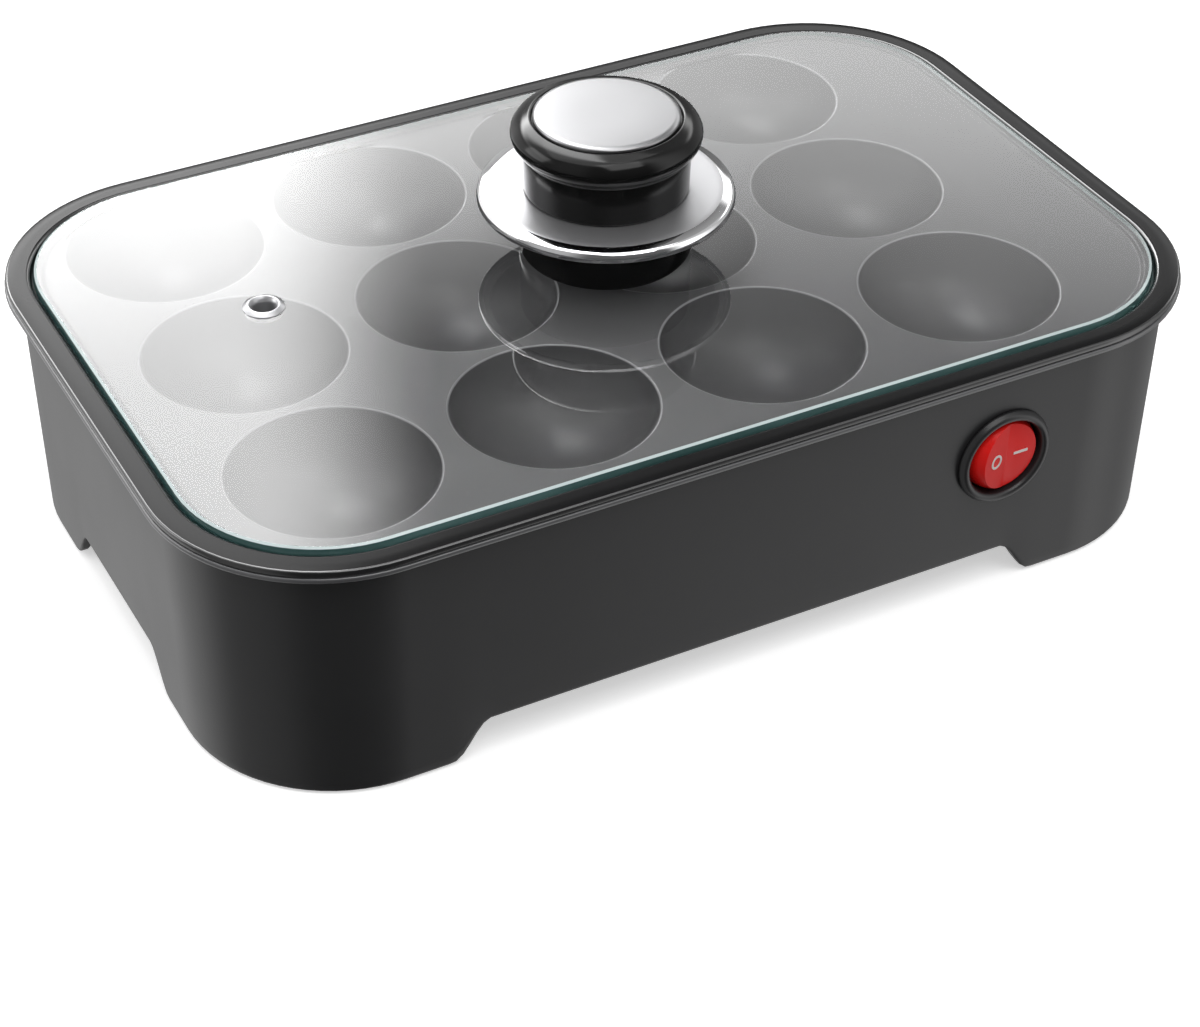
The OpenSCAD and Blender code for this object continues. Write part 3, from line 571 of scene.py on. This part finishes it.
def build_housing():
    s = sizes()
    top = RIM_R - s.rim_over
    foot = top - s.draft
    low = HOUSING_LOW.z
    lip_low = LIP_TOP - 1.2 * MM
    # the rings beside the rounded edges keep the tall wall's shading level
    beside = 2.5 * MM
    drawn = s.draft * beside / (lip_low - low)
    section = rounded_profile([
        (top - s.wall + 0.2 * MM, LIP_TOP - 3 * MM, 0), (foot - s.wall, low, 0.5 * MM),
        (foot, low, 0.8 * MM), (foot + drawn, low + beside, 0),
        (top - drawn, lip_low - beside, 0), (top, lip_low - 0.5 * MM, 1.0 * MM),
        (top + 0.9 * MM, lip_low, 0.5 * MM), (RIM_R, lip_low, 0.55 * MM), (RIM_R, LIP_TOP, 0.45 * MM),
        (top - 1.3 * MM, LIP_TOP, 0.2 * MM), (top - 1.3 * MM, LIP_TOP - 3 * MM, 0)], 4)
    bm = bmesh.new()
    face = round_outline(bm, *section[0])
    first = face.edges[:]
    bmesh.ops.delete(bm, geom=[face], context="FACES_ONLY")
    # the wall is divided, so that only its lowest part follows the arches
    rings = []
    split = 15 * MM
    for a, b in zip(section, section[1:]):
        if (a[1] - split) * (b[1] - split) < 0:
            k = (split - a[1]) / (b[1] - a[1])
            rings.append((a[0] + (b[0] - a[0]) * k, split))
        rings.append(b)
    last = pull_rings(bm, first, rings)
    bmesh.ops.bridge_loops(bm, edges=first + last)
    for v in bm.verts:
        if v.co.z < split - 0.01 * MM:
            edge = arch_edge(v.co.x, v.co.y, s)
            v.co.z = split - (split - v.co.z) * (split - edge) / (split - low)
    grey = satin("housing_grey", finishes().housing, 0.36, 1500.0, 0.03 * MM, 0.42)
    # the lip's bead is painted 3.5 times lighter than the housing: a painted highlight along the rounded lip
    highlight_bead = satin("lip_highlight_bead", [3.5 * c for c in finishes().housing], 0.3, 1500.0, 0.01 * MM, 1.0)
    housing = finish_piece("housing_shell", bm, [grey, highlight_bead], "base", "housing")
    # faces above the lip's lower edge take the painted highlight
    for polygon in housing.data.polygons:
        polygon.material_index = 1 if polygon.center.z > lip_low else 0
    reach = 9 * MM
    for at, y, radius in ((SWITCH_MIDDLE, HOUSING_LOW.y, SWITCH_SIZE.x / 2 - 1.4 * MM),
                          (GLAND_MIDDLE, HOUSING_HIGH.y, GLAND_NECK)):
        drill(housing, (at.x, y - reach, at.z), (at.x, y + reach, at.z), radius)
    smooth_but_flats(housing.data, SHARP_ANGLE)


def cup_rings(s, surface):
    """The rings of one cup: its soft mouth, then the bowl down to near its lowest point."""
    centre = surface + s.cup_lift
    soft = 1.0 * MM
    mouth = math.sqrt(s.cup_r ** 2 - (s.cup_lift + soft) ** 2)
    lip = rounded_profile([(mouth + 1.4 * MM, surface, 0), (mouth + 0.25 * MM, surface, soft),
                           (mouth, surface - soft, 0)], 6)
    steps = 22
    low = math.asin((s.cup_lift + soft) / s.cup_r)
    bowl = []
    for k in range(1, steps):
        a = low + (math.pi / 2 - low) * k / steps
        bowl.append((s.cup_r * math.cos(a), centre - s.cup_r * math.sin(a)))
    return lip + bowl, centre - s.cup_r


def build_cooking_plate():
    s = sizes()
    seat = GLASS_LOW.z
    surface = seat - s.surface_drop
    recess = GLASS_R + 0.4 * MM
    outer = RIM_R - 0.3 * MM
    section = rounded_profile([
        (outer - 0.2 * MM, LIP_TOP + 0.02 * MM, 0), (outer, LIP_TOP + 0.4 * MM, 0.3 * MM),
        (outer, FLANGE_TOP - 0.2 * MM, 0.9 * MM), (outer - 1.8 * MM, FLANGE_TOP, 1.2 * MM),
        (recess + 0.6 * MM, FLANGE_TOP, 0.6 * MM), (recess, FLANGE_TOP - 0.8 * MM, 0.5 * MM),
        (recess, seat, 0.4 * MM), (GLASS_R - s.seat_width, seat, 0.4 * MM),
        (GLASS_R - s.seat_width - 0.4 * MM, surface, 0.5 * MM),
        (GLASS_R - s.seat_width - 1.4 * MM, surface, 0)], 4)
    bm = bmesh.new()
    face = round_outline(bm, *section[0], gap=4 * MM)
    first = face.edges[:]
    bmesh.ops.delete(bm, geom=[face], context="FACES_ONLY")
    tray = pull_rings(bm, first, section[1:])
    cups = [(s.grid_x + (i - (CUPS_X - 1) / 2) * s.pitch_x, s.grid_y + (j - (CUPS_Y - 1) / 2) * s.pitch_y)
            for i in range(CUPS_X) for j in range(CUPS_Y)]
    rings, lowest = cup_rings(s, surface)
    mouths = []
    for x, y in cups:
        made = bmesh.ops.create_circle(bm, cap_ends=False, segments=80, radius=rings[0][0],
                                       matrix=Matrix.Translation((x, y, surface)))
        mouths.append(list(dict.fromkeys(e for v in made["verts"] for e in v.link_edges)))
    bmesh.ops.triangle_fill(bm, use_beauty=True, use_dissolve=False,
                            edges=tray + [e for mouth in mouths for e in mouth])
    for cup, mouth in zip(cups, mouths):
        edges = pull_rings(bm, mouth, rings[1:], lambda co: cup)
        tip, _ = pull(bm, edges, lambda co: (*cup, lowest))
        bmesh.ops.remove_doubles(bm, verts=tip, dist=0.01 * MM)
    bmesh.ops.recalc_face_normals(bm, faces=bm.faces[:])
    up = sum(f.normal.z for f in bm.faces if f.calc_center_median().z > surface - 0.1 * MM)
    if up < 0:
        bmesh.ops.reverse_faces(bm, faces=bm.faces[:])
    coating = satin("plate_coating", finishes().plate, 0.36, 2600.0, 0.002 * MM, 0.24, spread=0.06)
    black = satin("rim_coating", finishes().rim, 0.2, 1800.0, 0.002 * MM, 0.07)
    edge = satin("rim_edge", finishes().rim, 0.2, 1800.0, 0.002 * MM, 1.0)
    # the cups' rounded mouths are painted 2.4 times lighter than the plate: a painted highlight around each
    # mouth
    lip = satin("cup_lip_highlight", [2.4 * c for c in finishes().plate], 0.3, 2600.0, 0.002 * MM)
    plate = finish_piece("cooking_plate_cast", bm, [coating, black, edge, lip], "base", "cooking_plate",
                         angle=PLATE_SHARP_ANGLE, recalc=False)
    # faces above the seat take the rim's coatings; the band just under the cooking surface, the cups' rounded
    # mouths, takes the painted highlight
    for polygon in plate.data.polygons:
        if polygon.center.z > seat + 0.3 * MM:
            polygon.material_index = 1 if polygon.normal.z > 0.97 else 2
        elif surface - 0.7 * MM < polygon.center.z < surface - 0.03 * MM:
            polygon.material_index = 3
    modifier = plate.modifiers.new("wall", "SOLIDIFY")
    modifier.thickness = s.sheet
    modifier.offset = -1.0
    modifier.use_even_offset = True
    apply_modifiers(plate)
    smooth_but_flats(plate.data, PLATE_SHARP_ANGLE)


def build_glass():
    s = sizes()
    b = s.glass_bevel
    low, high = GLASS_LOW.z, GLASS_HIGH.z
    section = rounded_profile([
        (GLASS_R - b, high, 0), (GLASS_R - 0.35 * b, high - 0.35 * b, 0.1 * MM),
        (GLASS_R, high - 1.5 * b, 0.3 * MM), (GLASS_R, low + 0.6 * MM, 0.3 * MM),
        (GLASS_R - 0.6 * MM, low, 0)], 4)
    bm = bmesh.new()
    face = round_outline(bm, *section[0], gap=6 * MM)
    last = pull_rings(bm, face.edges[:], section[1:])
    bmesh.ops.contextual_create(bm, geom=last)
    edge = ground_glass("glass_edge", finishes().glass_edge, 0.3)
    # the pale bevel material paints the highlight along the pane's top edge
    bevel = ground_glass("glass_bevel", finishes().glass_bevel, 0.3)
    glass = finish_piece("lid_glass_pane", bm, [clear_glass(), edge, bevel], "lid", "lid_glass",
                         angle=GLASS_SHARP_ANGLE)
    for place, radius in (((CAP_MIDDLE.x, CAP_MIDDLE.y), 4 * MM),
                          ((EYELET_MIDDLE.x, EYELET_MIDDLE.y), s.vent_bore + 0.8 * MM)):
        drill(glass, (*place, low - 5 * MM), (*place, high + 5 * MM), radius)
    limit = GLASS_R - b - 0.02 * MM
    for polygon in glass.data.polygons:
        out = (polygon.center.xy - core_of(polygon.center)).length
        if out > limit and abs(polygon.normal.z) < 0.995:
            polygon.material_index = 2 if polygon.center.z > high - 0.35 * b else 1
    smooth_but_flats(glass.data, GLASS_SHARP_ANGLE)


def build_knob():
    place = CAP_MIDDLE.xy
    black = [polished("knob_black", finishes().knob, 0.13, 0.0, 0.05, level=0.25)]
    chrome = polished("knob_chrome", (0.86, 0.86, 0.87), 0.05, 1.0, 0.05)
    satin_chrome = polished("disc_chrome", (0.42, 0.42, 0.43), 0.33, 0.8, 0.1)
    steel = [satin("cap_steel", (0.26, 0.26, 0.265), 0.3, 900.0, 0.001 * MM, spread=0.02, metallic=1.0)]

    r, low, high = BASE_SIZE.x / 2, BASE_LOW.z, BASE_HIGH.z
    turned_piece("knob_foot", [
        (0, low, 0), (r - 0.8 * MM, low, 0.3 * MM), (r, low + 1.0 * MM, 0.8 * MM),
        (r - 0.3 * MM, high, 0.3 * MM), (0, high, 0)],
        place, black, "lid", "knob_base")

    r, top, low = SKIRT_SIZE.x / 2, SKIRT_HIGH.z, SKIRT_LOW.z
    under, bore = high, 5 * MM
    disc = turned_piece("knob_disc", [
        (bore, top, 0), (r - 3 * MM, top - 0.15 * MM, 1.0 * MM), (r - 0.5 * MM, top - 0.7 * MM, 0.9 * MM),
        (r, top - 1.6 * MM, 0.5 * MM), (r, low + 0.2 * MM, 0.3 * MM), (r - 0.5 * MM, low, 0.3 * MM),
        (r - 1.0 * MM, low + 0.3 * MM, 0.3 * MM), (r - 1.0 * MM, top - 1.7 * MM, 0.5 * MM),
        (r - 2.4 * MM, under - 0.1 * MM, 0.6 * MM), (bore, under, 0), (bore, top, 0)],
        place, [satin_chrome, chrome], "lid", "knob_skirt", curve=6, steps=128)
    for polygon in disc.data.polygons:
        out = (polygon.center.xy - place).length
        polygon.material_index = 1 if out > r - 2.6 * MM else 0

    rim, neck = GRIP_SIZE.x / 2, 18.4 * MM
    low, high = GRIP_LOW.z, GRIP_HIGH.z
    cap = CAP_SIZE.x / 2
    turned_piece("knob_turned_grip", [
        (0, low, 0), (neck - 0.3 * MM, low, 0.1 * MM), (neck, low + 0.3 * MM, 0.3 * MM),
        (neck + 0.3 * MM, high - 7.6 * MM, 1.5 * MM), (neck + 0.9 * MM, high - 7.0 * MM, 0.6 * MM),
        (rim - 0.7 * MM, high - 5.8 * MM, 1.3 * MM), (rim, high - 3.4 * MM, 1.5 * MM),
        (rim - 1.7 * MM, high - 0.9 * MM, 1.6 * MM), (cap + 0.7 * MM, high, 0.6 * MM),
        (cap + 0.15 * MM, high - 0.5 * MM, 0.2 * MM), (cap + 0.15 * MM, high - 1 * MM, 0),
        (0, high - 1 * MM, 0)],
        place, black, "lid", "knob_grip", curve=7, steps=128)

    low, high = CAP_LOW.z, CAP_HIGH.z
    turned_piece("knob_cap_disc", [
        (0, low, 0), (cap, low, 0), (cap, high - 0.5 * MM, 0.5 * MM),
        (cap - 0.9 * MM, high - 0.1 * MM, 0.5 * MM), (cap * 0.5, high, 2 * MM), (0, high, 0)],
        place, steel, "lid", "knob_cap", steps=128)


def build_eyelet():
    flange, bore = EYELET_SIZE.x / 2, sizes().vent_bore
    top, low = EYELET_HIGH.z, EYELET_LOW.z
    face, under = GLASS_HIGH.z, GLASS_LOW.z
    chrome = [bpy.data.materials["disc_chrome"]]
    turned_piece("steam_vent_eyelet", [
        (bore, low + 0.3 * MM, 0), (bore, top - 0.9 * MM, 0.6 * MM), (bore + 0.8 * MM, top, 0.6 * MM),
        (flange - 1.0 * MM, top - 0.1 * MM, 0.6 * MM), (flange, face + 0.15 * MM, 0.25 * MM),
        (flange - 0.1 * MM, face, 0.1 * MM), (bore + 0.7 * MM, face, 0.05 * MM),
        (bore + 0.7 * MM, under, 0.05 * MM), (flange - 0.5 * MM, under, 0.1 * MM),
        (flange - 0.6 * MM, low, 0.2 * MM), (bore + 0.3 * MM, low, 0.2 * MM), (bore, low + 0.3 * MM, 0)],
        EYELET_MIDDLE.xy, chrome, "lid", "vent_eyelet", steps=72)


def build_switch():
    """The bezel and the barrel behind it, with their heights from the wall outward, and the rocker."""
    wall = HOUSING_LOW.y + sizes().rim_over
    proud, depth = wall - SWITCH_LOW.y, SWITCH_HIGH.y - wall
    outer, barrel, bore = SWITCH_SIZE.x / 2, 9.95 * MM, 9.3 * MM
    floor = 1.2 * MM - depth
    shell = satin("switch_black", (0.018, 0.018, 0.019), 0.34, 1600.0, 0.02 * MM)
    turned_piece("switch_bezel", [
        (0, floor, 0), (bore, floor, 0), (bore, proud - 0.7 * MM, 0.3 * MM),
        (bore + 0.5 * MM, proud, 0.4 * MM), (outer - 0.8 * MM, proud, 0.7 * MM),
        (outer, 0.4 * MM, 0.4 * MM), (outer, 0, 0.1 * MM),
        (barrel, 0, 0.05 * MM), (barrel, -depth, 0), (0, -depth, 0)],
        (SWITCH_MIDDLE.x, wall, SWITCH_MIDDLE.z), [shell], "base", "switch_body", along_y=-1)
    softened("switch_rocker", "rocker_cap", rocker_red(), "rocker", 0.45 * MM, 4)
    paint(satin("mark_white", (0.78, 0.74, 0.72), 0.4), "rocker_marks")


def build_gland():
    """The flange and the neck behind it, with their heights from the wall outward."""
    wall = HOUSING_HIGH.y - sizes().rim_over
    proud, depth = GLAND_HIGH.y - wall, wall - GLAND_LOW.y
    flange, bore = GLAND_SIZE.x / 2, 3.6 * MM
    turned_piece("cord_gland_body", [
        (bore, -depth, 0), (bore, proud - 0.6 * MM, 0.5 * MM), (bore + 0.7 * MM, proud, 0.4 * MM),
        (flange - 2.2 * MM, proud, 0.5 * MM), (flange - 0.4 * MM, proud - 1.1 * MM, 0.6 * MM),
        (flange, 0.3 * MM, 0.3 * MM), (flange, 0, 0.1 * MM), (GLAND_NECK, 0, 0.05 * MM),
        (GLAND_NECK, -depth, 0.3 * MM), (bore, -depth, 0)],
        (GLAND_MIDDLE.x, wall, GLAND_MIDDLE.z), [bpy.data.materials["switch_black"]], "base", "cord_gland",
        steps=72, along_y=1)


def build_underside():
    cover = satin("cover_black", (0.024, 0.024, 0.025), 0.5, 1300.0, 0.04 * MM)
    softened("bottom_cover", "bottom_cover_panel", cover, "base", 0.35 * MM, 2)
    rubber = satin("foot_rubber", (0.014, 0.014, 0.014), 0.75, 900.0, 0.05 * MM, 0.3)
    softened("foot_pads", "rubber_feet", rubber, "base", 0.5 * MM, 3)
    zinc = brushed("zinc_screw", (0.55, 0.55, 0.57), 0.3, (1, 1, 1))
    paint(zinc, "cover_screws", "plate_screws", "clamp_screws", "shield_screws", "knob_screw")


def build_inner_parts():
    sheet = brushed("sheet_steel", (0.6, 0.6, 0.61), 0.3, (1.0, 40.0, 1.0))
    tube = satin("element_tube", (0.18, 0.17, 0.16), 0.45, 700.0, 0.03 * MM, metallic=1.0)
    ceramic = satin("ceramic", (0.78, 0.75, 0.68), 0.7, 1200.0, 0.04 * MM)
    sleeve = satin("lead_sleeve", (0.42, 0.03, 0.02), 0.5, 900.0)
    brass = brushed("brass_blade", (0.72, 0.52, 0.22), 0.25, (1.0, 20.0, 1.0))
    silicone = satin("silicone", (0.05, 0.05, 0.05), 0.6, 800.0)
    paint(sheet, "heat_shield", "shield_spacers", "element_clamps", "fuse_clip", "element_terminals",
          "rocker_pin", "knob_insert", "knob_washer")
    paint(tube, "heating_element")
    paint(ceramic, "element_insulators", "thermal_fuse", "terminal_block")
    paint(sleeve, "power_leads")
    paint(brass, "switch_terminals")
    paint(silicone, "glass_gasket")
    paint(bpy.data.materials["switch_black"], "thermostat", "gland_nut")


# Stage

CAMERA_PLACE = Vector((-0.2518, -0.4758, 0.4012))
CAMERA_YAW = math.radians(-27.722)
CAMERA_PITCH = math.radians(37.380)
CAMERA_ROLL = math.radians(0.365)
FOCAL_PIXELS = 2847.7
IMAGE_WIDTH = 1200
IMAGE_MIDDLE_X = 586.0
SENSOR = 36.0
LAMP_TARGET = Vector((0, 0, 0.04))

FLOOR_PALE = 0.86
FLOOR_BOUNCE = 0.3
FLOOR_GLOW = 0.5


def build_camera():
    data = bpy.data.cameras.new("camera")
    camera = bpy.data.objects.new("camera", data)
    bpy.context.scene.collection.objects.link(camera)
    back = Vector((math.sin(CAMERA_YAW) * math.cos(CAMERA_PITCH),
                   -math.cos(CAMERA_YAW) * math.cos(CAMERA_PITCH), math.sin(CAMERA_PITCH)))
    level = Vector((math.cos(CAMERA_YAW), math.sin(CAMERA_YAW), 0))
    upright = back.cross(level)
    right = level * math.cos(CAMERA_ROLL) + upright * math.sin(CAMERA_ROLL)
    up = upright * math.cos(CAMERA_ROLL) - level * math.sin(CAMERA_ROLL)
    camera.matrix_world = Matrix((
        (right.x, up.x, back.x, CAMERA_PLACE.x), (right.y, up.y, back.y, CAMERA_PLACE.y),
        (right.z, up.z, back.z, CAMERA_PLACE.z), (0, 0, 0, 1)))
    data.sensor_fit = "HORIZONTAL"
    data.sensor_width = SENSOR
    data.lens = FOCAL_PIXELS / IMAGE_WIDTH * SENSOR
    data.shift_x = (IMAGE_WIDTH / 2 - IMAGE_MIDDLE_X) / IMAGE_WIDTH
    data.clip_start = 0.01
    bpy.context.scene.camera = camera


def area_lamp(name, place, size, power):
    """An area lamp that shines at the object."""
    data = bpy.data.lights.new(name, "AREA")
    data.shape = "RECTANGLE"
    data.size, data.size_y = size
    data.energy = power
    lamp = bpy.data.objects.new(name, data)
    bpy.context.scene.collection.objects.link(lamp)
    way = LAMP_TARGET - Vector(place)
    lamp.rotation_euler = way.to_track_quat("-Z", "Y").to_euler()
    lamp.location = place


def map_range(tree, value, start, end, low=0.0, high=1.0):
    """A smooth step from low to high as a value goes from start to end."""
    node = tree.nodes.new("ShaderNodeMapRange")
    node.interpolation_type = "SMOOTHSTEP"
    tree.links.new(value, node.inputs["Value"])
    for label, number in (("From Min", start), ("From Max", end), ("To Min", low), ("To Max", high)):
        node.inputs[label].default_value = number
    return node.outputs["Result"]


def product(tree, *values):
    result = values[0]
    for value in values[1:]:
        result = maths(tree, "MULTIPLY", result, value)
    return result


def total(tree, *values):
    result = values[0]
    for value in values[1:]:
        result = maths(tree, "ADD", result, value)
    return result


def plainly_seen(tree):
    """1 for a ray from the camera, also behind glass, and 0 for the others, with the Light Path node."""
    path = tree.nodes.new("ShaderNodeLightPath")
    return path, maths(tree, "MAXIMUM", path.outputs["Is Camera Ray"], path.outputs["Is Transmission Ray"])


def build_floor():
    """A pale floor that catches the object's shadow. Polished surfaces don't mirror it."""
    bm = bmesh.new()
    bmesh.ops.create_grid(bm, x_segments=1, y_segments=1, size=4.0)
    mesh = bpy.data.meshes.new("floor")
    bm.to_mesh(mesh)
    bm.free()
    floor = bpy.data.objects.new("floor", mesh)
    bpy.context.scene.collection.objects.link(floor)
    floor.visible_glossy = False
    material, tree, shader = start_material("pale_floor")
    _, seen = plainly_seen(tree)
    mix = tree.nodes.new("ShaderNodeMix")
    mix.data_type = "RGBA"
    mix.inputs["A"].default_value = (FLOOR_BOUNCE, FLOOR_BOUNCE, FLOOR_BOUNCE, 1)
    mix.inputs["B"].default_value = (FLOOR_PALE, FLOOR_PALE, FLOOR_PALE, 1)
    tree.links.new(seen, mix.inputs["Factor"])
    tree.links.new(mix.outputs["Result"], shader.inputs["Base Color"])
    tree.links.new(maths(tree, "MULTIPLY", seen, FLOOR_GLOW), shader.inputs["Emission Strength"])
    shader.inputs["Emission Color"].default_value = (1, 1, 1, 1)
    shader.inputs["Roughness"].default_value = 1.0
    shader.inputs["Specular IOR Level"].default_value = 0.0
    mesh.materials.append(material)


def build_world():
    """White to the camera, dim to rough surfaces, and a studio with soft panels to polished ones.

    Directions are given by their bearing from the back (+Y) towards the right, and by their height.
    """
    world = bpy.data.worlds.new("studio")
    bpy.context.scene.world = world
    world.use_nodes = True
    tree = world.node_tree
    background = tree.nodes["Background"]
    background.inputs["Color"].default_value = (1, 1, 1, 1)
    place = tree.nodes.new("ShaderNodeTexCoord")
    parts = tree.nodes.new("ShaderNodeSeparateXYZ")
    tree.links.new(place.outputs["Generated"], parts.inputs["Vector"])
    bearing = maths(tree, "ARCTAN2", parts.outputs["X"], parts.outputs["Y"])
    height = parts.outputs["Z"]

    def turn(start, end, low=0.0, high=1.0):
        return map_range(tree, bearing, math.radians(start), math.radians(end), low, high)

    def rise(start, end, low=0.0, high=1.0):
        return map_range(tree, height, start, end, low, high)

    left = product(tree, turn(24.2, 19.2), turn(-85, -55))
    near_left = turn(-35, 5, 0.12, 1.0)
    # what the glass's left part, the left wall, the glass's back part, the front and its left corner mirror
    panel = product(tree, left, near_left, rise(0.38, 0.48), 8.0)
    left_wall = product(tree, left, rise(0.5, 0.25), turn(-18, 2, 1.0, 0.4))
    back = product(tree, near_left, rise(0.57, 0.455), rise(0.36, 0.44), turn(34, 20, 4.0, 8.0),
                   map_range(tree, parts.outputs["Y"], 0.0, 0.3))
    right = product(tree, turn(30, 70), turn(158, 134), turn(95, 132, 0.4, 1.5))
    corner = product(tree, turn(-140, -115), turn(-70, -95), 0.35)
    glossy = total(tree, panel, left_wall, back, right, corner, rise(-0.2, 0.3, 0.08, 0.12))
    diffuse = rise(-0.6, 0.8, 0.12, 0.6)
    path, seen = plainly_seen(tree)
    strength = total(tree, seen, product(tree, path.outputs["Is Glossy Ray"], glossy),
                     product(tree, path.outputs["Is Diffuse Ray"], diffuse))
    tree.links.new(strength, background.inputs["Strength"])


def build_stage():
    scene = bpy.context.scene
    scene.view_settings.view_transform = "Standard"
    build_camera()
    build_floor()
    build_world()
    area_lamp("overhead", (-0.1, 0.15, 0.9), (1.0, 0.8), 4.0)
    area_lamp("front_high", (0.0, -0.42, 0.80), (0.5, 0.5), 2.4)
    area_lamp("left_back", (-0.8, 0.45, 0.45), (0.5, 0.5), 2.0)


# Operators, panel and registration

def piece_operator(idname, label, doc, build):
    """An operator class that makes one piece or group of pieces."""
    def execute(self, context):
        build()
        return {"FINISHED"}
    name = "TAKOYAKI_OT_" + idname
    return type(name, (bpy.types.Operator,), {
        "__doc__": doc, "bl_idname": "takoyaki." + idname, "bl_label": label, "execute": execute})


OPERATORS = [
    piece_operator("housing", "Housing", "Make the drafted shell on its four feet", build_housing),
    piece_operator("cooking_plate", "Cooking plate", "Make the cast plate and its cups", build_cooking_plate),
    piece_operator("glass", "Glass", "Make the glass pane of the lid", build_glass),
    piece_operator("knob", "Knob", "Make the knob's foot, disc, grip and cap", build_knob),
    piece_operator("eyelet", "Steam vent", "Make the eyelet of the steam vent", build_eyelet),
    piece_operator("switch", "Switch", "Make the switch's bezel and rocker", build_switch),
    piece_operator("gland", "Cord gland", "Make the gland in the back wall", build_gland),
    piece_operator("underside", "Underside", "Make the bottom cover and the feet", build_underside),
    piece_operator("inner_parts", "Inner parts", "Finish the pieces inside", build_inner_parts),
    piece_operator("stage", "Stage", "Make the camera, the floor and the lamps", build_stage),
]


class TAKOYAKI_PT_panel(bpy.types.Panel):
    """Lists the makers of the takoyaki maker's pieces."""
    bl_label = "Takoyaki Maker"
    bl_idname = "TAKOYAKI_PT_panel"
    bl_space_type = "VIEW_3D"
    bl_region_type = "UI"
    bl_category = "Takoyaki"

    def draw(self, context):
        for operator in OPERATORS:
            self.layout.operator(operator.bl_idname)
        for label in TakoyakiSizes.__annotations__:
            self.layout.prop(context.scene.takoyaki_sizes, label)
        for label in TakoyakiFinishes.__annotations__:
            self.layout.prop(context.scene.takoyaki_finishes, label)


CLASSES = [TakoyakiSizes, TakoyakiFinishes, *OPERATORS, TAKOYAKI_PT_panel]


def register():
    for cls in CLASSES:
        bpy.utils.register_class(cls)
    bpy.types.Scene.takoyaki_sizes = bpy.props.PointerProperty(type=TakoyakiSizes)
    bpy.types.Scene.takoyaki_finishes = bpy.props.PointerProperty(type=TakoyakiFinishes)


def unregister():
    del bpy.types.Scene.takoyaki_sizes
    del bpy.types.Scene.takoyaki_finishes
    for cls in reversed(CLASSES):
        bpy.utils.unregister_class(cls)


def main():
    register()
    for operator in OPERATORS:
        getattr(bpy.ops.takoyaki, operator.bl_idname.split(".")[1])()


if __name__ == "__main__":
    main()
